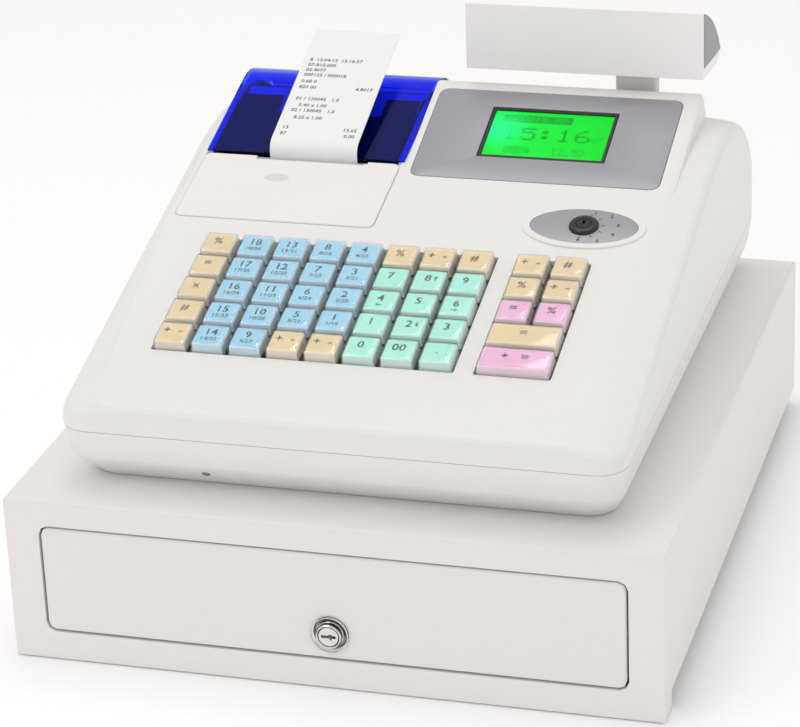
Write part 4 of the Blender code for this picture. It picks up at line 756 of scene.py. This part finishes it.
def add_core(shape, centre, extra, label_paint, side_paint):
    """The pale core of a key with the coloured label on its top."""
    base = cap_wall + cap_gap
    top = key_rise - base - label_thickness
    outline = key_outline(centre, extra)
    shoulder = (label_inset - core_shoulder, top - core_slope)
    moulded(shape, outline, [(base, -key_sink), shoulder, (label_inset - core_lip, top)], deck, side_paint)
    upper = top + label_thickness
    edge = label_thickness / 3
    label = [(label_inset, top - edge), (label_inset, upper - edge), (label_inset + edge, upper)]
    moulded(shape, outline, label, deck, label_paint)


def add_clear_cap(shape, centre, extra, paint):
    """An open clear cover: an inner skin, the rim that joins it below and an outer skin."""
    profile = cap_profile(cap_wall, cap_wall)[::-1] + cap_profile(0, 0)
    moulded(shape, key_outline(centre, extra), profile, deck, paint)


def legend_place(centre, offset):
    """Where a figure lies on a key's core."""
    level = key_rise - cap_wall - cap_gap
    return deck @ Matrix.Translation((centre[0] + offset[0], centre[1] + offset[1], level))


def add_figures(shape, centre, figures, paint):
    """A key's figures: large alone, or a bold one over a small pair."""
    if len(figures) == 2:
        for text, height, offset in zip(figures, pair_heights, pair_places):
            lettering(shape, text, height, legend_place(centre, offset), paint=paint)
        return
    lettering(shape, figures[0], single_height, legend_place(centre, single_place), paint=paint)
    if figures[0] in key_arrows:
        turn, offset = key_arrows[figures[0]]
        add_arrow(shape, legend_place(centre, offset), key_arrow_length, turn, paint)


def key_plan():
    """Every key: column, row, extra width, colour, figures and its node, or none where it stands still."""
    plan = []
    count = len(sign_rows)
    for row in range(count):
        for column in range(main_columns):
            node = None
            colour = "tan"
            figures = [sign_rows[row]]
            if column and column not in short_columns:
                figures = [sign_rows[(row + column) % count]]
            if column in column_tops and (row or column not in short_columns):
                colour = "blue"
                down = count - 1 - row
                first, second = (top - down for top in column_tops[column])
                figures = [str(first), f"{first}/{second}"]
            if column >= number_column and row < len(number_names):
                label = number_names[row][column - number_column]
                node = "key_" + label
                colour = "mint"
                figures = ["." if label == "point" else label]
            plan.append((column, row, 0, colour, figures, node))
    for row, colour in function_rows:
        for side in (1, 2):
            figures = [sign_rows[(row + side) % count]]
            plan.append((main_columns + side - 1, row, 0, colour, figures, f"key_function_{row}_{side}"))
    for row, colour, sign, node in wide_keys:
        plan.append((main_columns, row, key_pitch, colour, [sign], node))
    return plan


def make_keys():
    """Keys with clear caps, those that stand still as one piece, over the guide plate."""
    order = list(key_finishes)
    paints = {name: index for index, name in enumerate(order)}
    finishes = [key_finishes[name] for name in order] + [clear_cap, legend_ink]
    clear = len(order)
    ink = clear + 1
    fixed = bmesh.new()
    for column, row, extra, colour, figures, node in key_plan():
        across, along = key_middle(column, row)
        centre = (across + extra / 2, along)
        shape = bmesh.new() if node else fixed
        add_core(shape, centre, extra, paints[colour], paints[colour + "_side"])
        add_clear_cap(shape, centre, extra, clear)
        add_figures(shape, centre, figures, ink)
        if node:
            make_piece(node + "_cap", shape, node + "_cap", finishes, [node])
    make_piece("fixed_keys", fixed, "register", finishes)

    # Dark guide plate under the keys. Between the keys its dark colour is partly the plate's own and partly
    # painted shade of the gaps.
    plate = bmesh.new()
    reach = key_base / 2 + plate_margin
    near = key_middle(0, 0)
    far = key_middle(main_columns + 1, len(sign_rows) - 1)
    low = (near[0] - reach, near[1] - reach, -plate_level - plate_thickness)
    high = (far[0] + reach, far[1] + reach, -plate_level)
    block(plate, low, high, deck)
    make_piece("key_guide_plate", plate, "register", [plate_and_shade_black], ["key_plate"])


# Operator display

screen_low = (0.0188, 0.0276)
screen_high = (0.1027, 0.0792)
face_low = (-0.0201, 0.0045)
face_high = (0.1420, 0.0955)
face_corner = 0.0060
face_corner_steps = 6
face_level = 0.0003
face_thickness = 0.0011
face_edge = 0.0005
surround = 0.0022
gasket_gap = 0.0004
gasket_depth = 0.004
gasket_round = 0.0002
gasket_slope = 0.0003
panel_base = -0.010
panel_level = -0.0016
panel_edge = 0.0002
panel_spot = (0.006, 0.028)
panel_strength = 1.0
lit_colours = (rgb(2, 216, 40), rgb(4, 230, 58))
figure_colours = (rgb(3, 150, 30), rgb(8, 160, 44))
band_shares = ((-0.42, 0.27), (0.16, 0.42))
band_levels = (-0.0017, -0.00156)
band_edge = 0.00004
dot_level = -0.00157
dot_rise = 0.00004
screen_lines = (
    ("000815.00", 0.0050, (-0.13, 0.345), 1.0, 0),
    ("15:16", 0.0125, (-0.02, 0.02), 1.12, 1),
    ("27", 0.0048, (0.405, -0.03), 1.0, 1),
    ("0804 - 12.50", 0.0072, (0.0, -0.33), 0.72, 1),
)
pane_overlap = 0.0002
pane_levels = (-0.0012, -0.0004)
pane_edge = 0.0001


def display_rings(profile, low, high, corner):
    """Rings round a rectangle on the display's face, one for each (inset, height)."""
    rings = []
    for inset, height in profile:
        near = (low[0] + inset, low[1] + inset)
        far = (high[0] - inset, high[1] - inset)
        rings.append(placed(rounded_rectangle(near, far, corner, face_corner_steps), height, display_face))
    return rings


def make_operator_display():
    """Grey face with an eased edge, a black surround, a lit panel with figures and a clear pane."""
    outer = soft_profile(face_level - face_thickness, face_level, face_edge)
    inner = [(-inset, height) for inset, height in reversed(outer)]
    rings = display_rings(outer, face_low, face_high, face_corner)
    rings += display_rings(inner, screen_low, screen_high, face_edge)
    shape = bmesh.new()
    loft(shape, rings, closed=True)
    make_piece("display_face", shape, "register", [bezel_grey], ["display_bezel"])

    profile = (
        (gasket_gap, -gasket_depth),
        (gasket_gap, -gasket_round),
        (gasket_gap + gasket_round, 0),
        (surround, 0),
        (surround + gasket_slope, -gasket_slope),
        (surround + gasket_slope, -gasket_depth),
    )
    shape = bmesh.new()
    loft(shape, display_rings(profile, screen_low, screen_high, face_edge), closed=True)
    make_piece("screen_surround", shape, "register", [gasket_black])

    low = (screen_low[0] + surround, screen_low[1] + surround)
    high = (screen_high[0] - surround, screen_high[1] - surround)
    spot = display_face @ Vector((low[0] + panel_spot[0], low[1] + panel_spot[1], panel_level))
    lit = screen_finish("backlit_green", *lit_colours, panel_strength, spot)
    dark = screen_finish("lit_figures", *figure_colours, panel_strength, spot)

    def at(across, along):
        middle = ((low[0] + high[0]) / 2, (low[1] + high[1]) / 2)
        return middle[0] + across * (high[0] - low[0]), middle[1] + along * (high[1] - low[1])

    shape = bmesh.new()
    block(shape, (*low, panel_base), (*high, panel_level), display_face, panel_edge)
    corners = [(*at(*share), level) for share, level in zip(band_shares, band_levels)]
    block(shape, *corners, display_face, band_edge, paint=1)
    for text, height, shares, width_share, paint in screen_lines:
        level = dot_level + (0 if paint else dot_rise)
        place = display_face @ Matrix.Translation((*at(*shares), level))
        dot_figures(shape, text, height, place, dot_rise, paint, width_share)
    make_piece("screen_panel", shape, "register", [lit, dark], ["lcd_module"])

    shape = bmesh.new()
    near = (low[0] - pane_overlap, low[1] - pane_overlap, pane_levels[0])
    far = (high[0] + pane_overlap, high[1] + pane_overlap, pane_levels[1])
    block(shape, near, far, display_face, pane_edge)
    make_piece("screen_pane", shape, "register", [glass])


# Mode switch

switch_middle = (0.1040, 0.2090)
switch_width = 0.0690
switch_length = 0.0360
switch_sides = 96
switch_gap = 0.0006
switch_base = 0.00032
switch_top = 0.0011
switch_edge = 0.0004
mark_count = 6
mark_first = 78
mark_step = 34
mark_reach = 0.0121
mark_length = 0.0024
number_reach = (0.021375, 0.0171)
number_limit = 0.0143
number_height = 0.0032
knob_sides = 72
knob_steps = ((0, -0.018), (0, 0.0016), (-0.0002, 0.0024), (-0.0010, 0.0034), (-0.0016, 0.0036))
knob_dish = ((0.0052, 0.0036), (0.0049, 0.0031), (0.0046, 0.0031), (0.0043, 0.0036), (0.0004, 0.0037))
knob_keyway = ((-0.0009, -0.0030, -0.002), (0.0009, 0.0030, 0.01))
knob_keyway_edge = 0.0002


def cut_out(piece, shape):
    """Cut a shape from a piece for good."""
    cutter = new_object("cutter", mesh_of("cutter", shape))
    cut = piece.modifiers.new("cut", "BOOLEAN")
    cut.object = cutter
    cut.operation = "DIFFERENCE"
    cut.solver = "EXACT"
    bpy.context.view_layer.update()
    graph = bpy.context.evaluated_depsgraph_get()
    applied = bpy.data.meshes.new_from_object(piece.evaluated_get(graph))
    piece.modifiers.clear()
    piece.data = applied
    bpy.data.objects.remove(cutter)


def make_mode_switch():
    """Oval plate with its marks, and a round black knob with a keyway."""

    def outline(inset):
        off = switch_gap + 2 * inset
        return ellipse(switch_middle, switch_width - off, switch_length - off, switch_sides)

    def at(across, along):
        return deck @ Matrix.Translation((switch_middle[0] + across, switch_middle[1] + along, switch_top))

    shape = bmesh.new()
    moulded(shape, outline, soft_profile(switch_base, switch_top, switch_edge), deck)
    for mark in range(mark_count):
        turn = math.radians(mark_first - mark * mark_step)
        place = at(mark_reach * math.cos(turn), mark_reach * math.sin(turn))
        add_arrow(shape, place, mark_length, turn + half_turn, 1)
        along = min(max(number_reach[1] * math.sin(turn), -number_limit), number_limit)
        lettering(shape, str(mark + 1), number_height, at(number_reach[0] * math.cos(turn), along), paint=1)
    make_piece("switch_plate", shape, "register", [plate_grey, legend_ink])

    knob_radius = (knob_high.x - knob_low.x) / 2
    centre = deck @ Matrix.Translation(((knob_high.x + knob_low.x) / 2, switch_middle[1], 0))
    shape = bmesh.new()
    lathe(shape, stepped(knob_radius, knob_steps) + list(knob_dish), centre, knob_sides)
    knob = make_piece("switch_knob", shape, "mode_switch", [knob_black], ["mode_lock"])
    keyway = bmesh.new()
    block(keyway, *knob_keyway, centre, knob_keyway_edge)
    cut_out(knob, keyway)


# Receipt printer

strip_middle = (receipt_low.x + receipt_high.x) / 2
cover_edge = 0.0003
oval_middle = (-0.1050, 0.2400)
oval_size = (0.0170, 0.0095)
oval_rise = 0.0003
oval_sides = 48
scoop_width = 0.075
scoop_low = 0.2590
scoop_gap = 0.0004
lip_end = 0.2630
lip_levels = (-0.0040, 0.0003)
lip_edge = 0.0006
bar_setback = 0.0012
bar_thickness = 0.0004
tooth_pitch = 0.0015
tooth_rise = 0.0007


def make_printer_cover():
    """White lid with a faint raised oval in a darker grey that paints its shade; the lip and the toothed bar
    at the slot stay with the printer.
    """
    dress("printer_cover", white_cover, cover_edge)
    level = (deck.inverted() @ Vector((0, cover_high.y, cover_high.z))).z

    def oval(inset):
        return ellipse(oval_middle, oval_size[0] - 2 * inset, oval_size[1] - 2 * inset, oval_sides)

    shape = bmesh.new()
    moulded(shape, oval, soft_profile(level - oval_rise, level + oval_rise, oval_rise), deck)
    make_piece("cover_oval", shape, "tear_cover", [oval_painted_shade])

    half = scoop_width / 2 - scoop_gap
    left = strip_middle - half
    low = (left, scoop_low + scoop_gap, lip_levels[0])
    high = (strip_middle + half, lip_end, lip_levels[1])
    shape = bmesh.new()
    block(shape, low, high, deck, lip_edge)
    make_piece("slot_lip", shape, "register", [white_cover])

    base = lip_end - bar_setback
    back = base - tooth_rise
    teeth = [
        (left + tooth_pitch * step / 2, base + (step % 2) * tooth_rise)
        for step in range(2 * int(2 * half / tooth_pitch))
    ]
    outline = [(left, back)] + teeth + [(teeth[-1][0], back)]
    shape = bmesh.new()
    prism(shape, outline, (lip_levels[1], lip_levels[1] + bar_thickness), deck)
    make_piece("tear_bar", shape, "register", [bright_steel])


window_edge = 0.0004
window_slope = math.radians(16.04)
window_rise = 0.001
window_wall = 0.0022
# Sheets under the roll window: a dark stepped one of painted shade and a white one of painted light.
sheet_gap = 0.0006
sheet_thickness = 0.0008
sheet_edge = 0.0002
sheet_sides = (-0.1546, -0.1278, -0.0565, -0.0339)
shade_sheet_start = 0.0050
shade_sheet_ends = (0.0680, 0.0500, 0.0700)
light_sheet_start = 0.0440
light_sheet_end = 0.0800
light_sheet_drop = 0.0012
roll_rows = (
    ("platen_roller", roller_black, "platen", 0.0002),
    ("paper_roll", roll_paper, "paper", 0.0004),
)


def make_roll_window():
    """Clear blue cover over a dark stepped sheet of painted shade and a white sheet of painted light, and
    the paper roll and its roller below.
    """
    dress("roll_window", blue_window, window_edge)
    start_z = lip_height + (window_low.y - lip_y) * math.tan(deck_angle) + window_rise
    top = turned((0, window_low.y, start_z), window_slope)
    # A dark stepped sheet under the window: painted shade of the printer's dark inside.
    upper = -window_wall - sheet_gap
    shape = bmesh.new()
    for left, right, end in zip(sheet_sides, sheet_sides[1:], shade_sheet_ends):
        block(shape, (left, shade_sheet_start, upper - sheet_thickness), (right, end, upper), top, sheet_edge)
    make_piece("window_liner", shape, "paper_cover", [painted_shade_navy])

    # A white sheet under the window's rear band: painted light, so the band shows bright blue.
    lower = upper - sheet_thickness - light_sheet_drop
    low = (sheet_sides[0], light_sheet_start, lower - sheet_thickness)
    shape = bmesh.new()
    block(shape, low, (sheet_sides[-1], light_sheet_end, lower), top, sheet_edge)
    make_piece("window_reflector", shape, "paper_cover", [receipt_paper])
    dress_each(roll_rows)


strip_half = (receipt_high.x - receipt_low.x) / 2
strip_thickness = 0.0003
strip_lean = math.radians(20.8)
strip_turn = quarter - strip_lean
strip_bend_radius = 0.008
strip_bend_height = 0.2295
strip_rise = strip_bend_height - receipt_low.z
strip_steps = 60
strip_teeth = 32
strip_tooth = 0.0009
print_height = 0.0031
print_depth = 0.00004
print_level = 0.00002
print_width_share = 0.86
strip_rows = (
    (0.0326, "8  12:04:12  15:16:27", ""),
    (0.0380, "07-815.000", ""),
    (0.0433, "02.4077", ""),
    (0.0484, "000125 / 000018", ""),
    (0.0552, "0.68 0", ""),
    (0.0611, "820 00", "4.8017"),
    (0.0730, " 01 / 120045   1.0", ""),
    (0.0795, "    5.40 x 1.00", ""),
    (0.0849, " 02 / 130045   1.0", ""),
    (0.0920, "    8.25 x 1.00", ""),
    (0.1025, "13", "13.65"),
    (0.1085, "87", "0.00"),
)


def strip_point(travel):
    """Middle of the strip and its direction at a distance from the slot: up, round and back."""
    if travel < strip_rise:
        return Vector((receipt_low.y, receipt_low.z + travel)), quarter
    swing = (travel - strip_rise) / strip_bend_radius
    centre = Vector((receipt_low.y + strip_bend_radius, strip_bend_height))
    if swing < strip_turn:
        angle = half_turn - swing
        return centre + strip_bend_radius * Vector((math.cos(angle), math.sin(angle))), quarter - swing
    past = travel - strip_rise - strip_turn * strip_bend_radius
    angle = quarter + strip_lean
    start = centre + strip_bend_radius * Vector((math.cos(angle), math.sin(angle)))
    return start + past * Vector((math.cos(strip_lean), math.sin(strip_lean))), strip_lean


def strip_place(travel, across, height):
    """A place on the strip, across it and above its face, at a distance from the slot."""
    point, angle = strip_point(travel)
    spot = point + Vector((-math.sin(angle), math.cos(angle))) * height
    return Vector((across, spot.x, spot.y))


def make_receipt():
    """A printed strip that leaves the slot, bends back and ends in a torn edge."""
    reach = receipt_high.y - receipt_low.y - strip_bend_radius * (1 - math.sin(strip_lean))
    length = strip_rise + strip_turn * strip_bend_radius + reach / math.cos(strip_lean)

    def wrap(place):
        return strip_place(length - place.y, place.x, place.z)

    shape = bmesh.new()
    rings = []
    for step in range(strip_steps + 1):
        travel = (length - strip_tooth) * step / strip_steps
        rings.append([
            strip_place(travel, strip_middle + side * strip_half, height)
            for height, side in ((0, -1), (0, 1), (-strip_thickness, 1), (-strip_thickness, -1))
        ])
    loft(shape, rings)

    tooth = 2 * strip_half / strip_teeth
    for index in range(strip_teeth):
        left = strip_middle - strip_half + tooth * index
        outline = ((left, strip_tooth), (left + tooth, strip_tooth), (left + tooth / 2, 0))
        loft(shape, [[wrap(Vector((x, y, depth))) for x, y in outline] for depth in (0, -strip_thickness)])

    flip = Matrix.Scale(-1, 4, (0, 1, 0))
    margin = strip_half * print_width_share
    for travel, left_text, right_text in strip_rows:
        for text, side, align in ((left_text, -1, "LEFT"), (right_text, 1, "RIGHT")):
            if text:
                place = Matrix.Translation((strip_middle + side * margin, travel, print_level))
                lettering(shape, text, print_height, place @ flip, print_depth, 1, align, wrap)
    make_piece("receipt_strip", shape, "paper_cover", [receipt_paper, printed_ink], ["receipt"])


# Rear customer display

head_rows = (
    ("customer_shell", panel_plastic, "housing", 0.0006),
    ("customer_window", smoke_window, "customer_window", 0.0005),
)
readout_margin = 0.0065
readout_length = 0.0360
readout_drop = 0.0020
readout_thickness = 0.0012
readout_edge = 0.0003
readout_text = "  12.50"
readout_height = 0.0190
readout_rise = 0.0002
readout_strength = 1.2
readout_colours = (rgb(70, 230, 190), rgb(110, 255, 220))


def make_customer_display():
    """Head with a smoked window, and a dark readout with lit figures parallel to it."""
    dress_each(head_rows)
    glass_low, glass_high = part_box("customer_window")
    middle = (glass_low + glass_high) / 2
    fall = math.atan2(glass_high.z - glass_low.z, glass_high.y - glass_low.y)
    back = turned(middle, half_turn, "Z") @ Matrix.Rotation(fall, 4, "X")
    half = (glass_high.x - glass_low.x) / 2 - readout_margin
    low = (-half, -readout_length / 2, -readout_drop - readout_thickness)
    shape = bmesh.new()
    block(shape, low, (half, readout_length / 2, -readout_drop), back, readout_edge)
    lit = screen_finish("readout_lit", *readout_colours, readout_strength, middle)
    line = back @ Matrix.Translation((0, 0, -readout_drop))
    dot_figures(shape, readout_text, readout_height, line, readout_rise, 1)
    make_piece("customer_readout", shape, "customer_head", [black_plastic, lit])


# Scene

photo_width = 800
sensor_width = 36
focal_pixels = 3141.7
camera_place = Vector((0.5137, -1.7691, 0.9197))
camera_yaw = math.radians(16.744)
camera_pitch = math.radians(23.667)
camera_roll = math.radians(-2.376)
sky_colour = rgb(255, 254, 252)
sky_on_pieces = 0.72
sky_seen = 1.0
floor_reach = 6.0
lamp_aim = Vector((0, 0, 0.12))
lamps = (
    ("key_lamp", Vector((-1.1, -1.5, 2.1)), 1.4, 8),
    ("side_lamp", Vector((2.1, -0.6, 1.2)), 1.2, 1.1),
    ("top_lamp", Vector((-0.2, 0.3, 2.3)), 1.4, 9),
)


def make_camera():
    """The photograph's camera."""
    ahead = Vector((
        -math.sin(camera_yaw) * math.cos(camera_pitch),
        math.cos(camera_yaw) * math.cos(camera_pitch),
        -math.sin(camera_pitch),
    ))
    right = Vector((math.cos(camera_yaw), math.sin(camera_yaw), 0))
    up = right.cross(ahead)
    turned_right = math.cos(camera_roll) * right + math.sin(camera_roll) * up
    turned_up = -math.sin(camera_roll) * right + math.cos(camera_roll) * up
    camera = new_object("camera", bpy.data.cameras.new("camera"))
    rows = Matrix((turned_right, turned_up, -ahead)).transposed()
    camera.matrix_world = Matrix.Translation(camera_place) @ rows.to_4x4()
    camera.data.sensor_width = sensor_width
    camera.data.lens = focal_pixels * sensor_width / photo_width
    bpy.context.scene.camera = camera


def make_sky():
    """A white sky for the camera and through clear pieces, dimmer where it lights them."""
    world = bpy.data.worlds.new("studio")
    bpy.context.scene.world = world
    world.use_nodes = True
    nodes = world.node_tree.nodes
    links = world.node_tree.links
    sky = nodes["Background"]
    sky.inputs["Color"].default_value = (*sky_colour, 1)
    path = nodes.new("ShaderNodeLightPath")
    seen = nodes.new("ShaderNodeMath")
    seen.operation = "MAXIMUM"
    links.new(path.outputs["Is Camera Ray"], seen.inputs[0])
    links.new(path.outputs["Is Transmission Ray"], seen.inputs[1])
    strength = nodes.new("ShaderNodeMapRange")
    strength.inputs["To Min"].default_value = sky_on_pieces
    strength.inputs["To Max"].default_value = sky_seen
    links.new(seen.outputs["Value"], strength.inputs["Value"])
    links.new(strength.outputs["Result"], sky.inputs["Strength"])


def make_floor():
    """A white floor that takes the shadow."""
    shape = bmesh.new()
    sides = ((-1, -1), (1, -1), (1, 1), (-1, 1))
    shape.faces.new([shape.verts.new((x * floor_reach, y * floor_reach, 0)) for x, y in sides])
    floor = new_object("studio_floor", mesh_of("studio_floor", shape))
    floor_paper = finished(
        "floor_paper", rgb(254, 254, 254), 0.9, patch=2, share=0.003, scale=400,
        Emission_Color=(1, 1, 1, 1), Emission_Strength=0.07,
    )
    floor.data.materials.append(floor_paper)


def make_lamps():
    """Soft square lamps that look at the register."""
    for name, place, size, power in lamps:
        lamp = bpy.data.lights.new(name, "AREA")
        lamp.size = size
        lamp.energy = power
        holder = new_object(name, lamp)
        turn = (lamp_aim - place).to_track_quat("-Z", "Y").to_matrix().to_4x4()
        holder.matrix_world = Matrix.Translation(place) @ turn


dress_each(case_rows)
make_lock()
make_screw()
dress_each(body_rows)
blacken_sockets()
make_keys()
make_operator_display()
make_mode_switch()
make_printer_cover()
make_roll_window()
make_receipt()
make_customer_display()
make_camera()
make_sky()
make_floor()
make_lamps()
bpy.context.scene.view_settings.view_transform = "Standard"
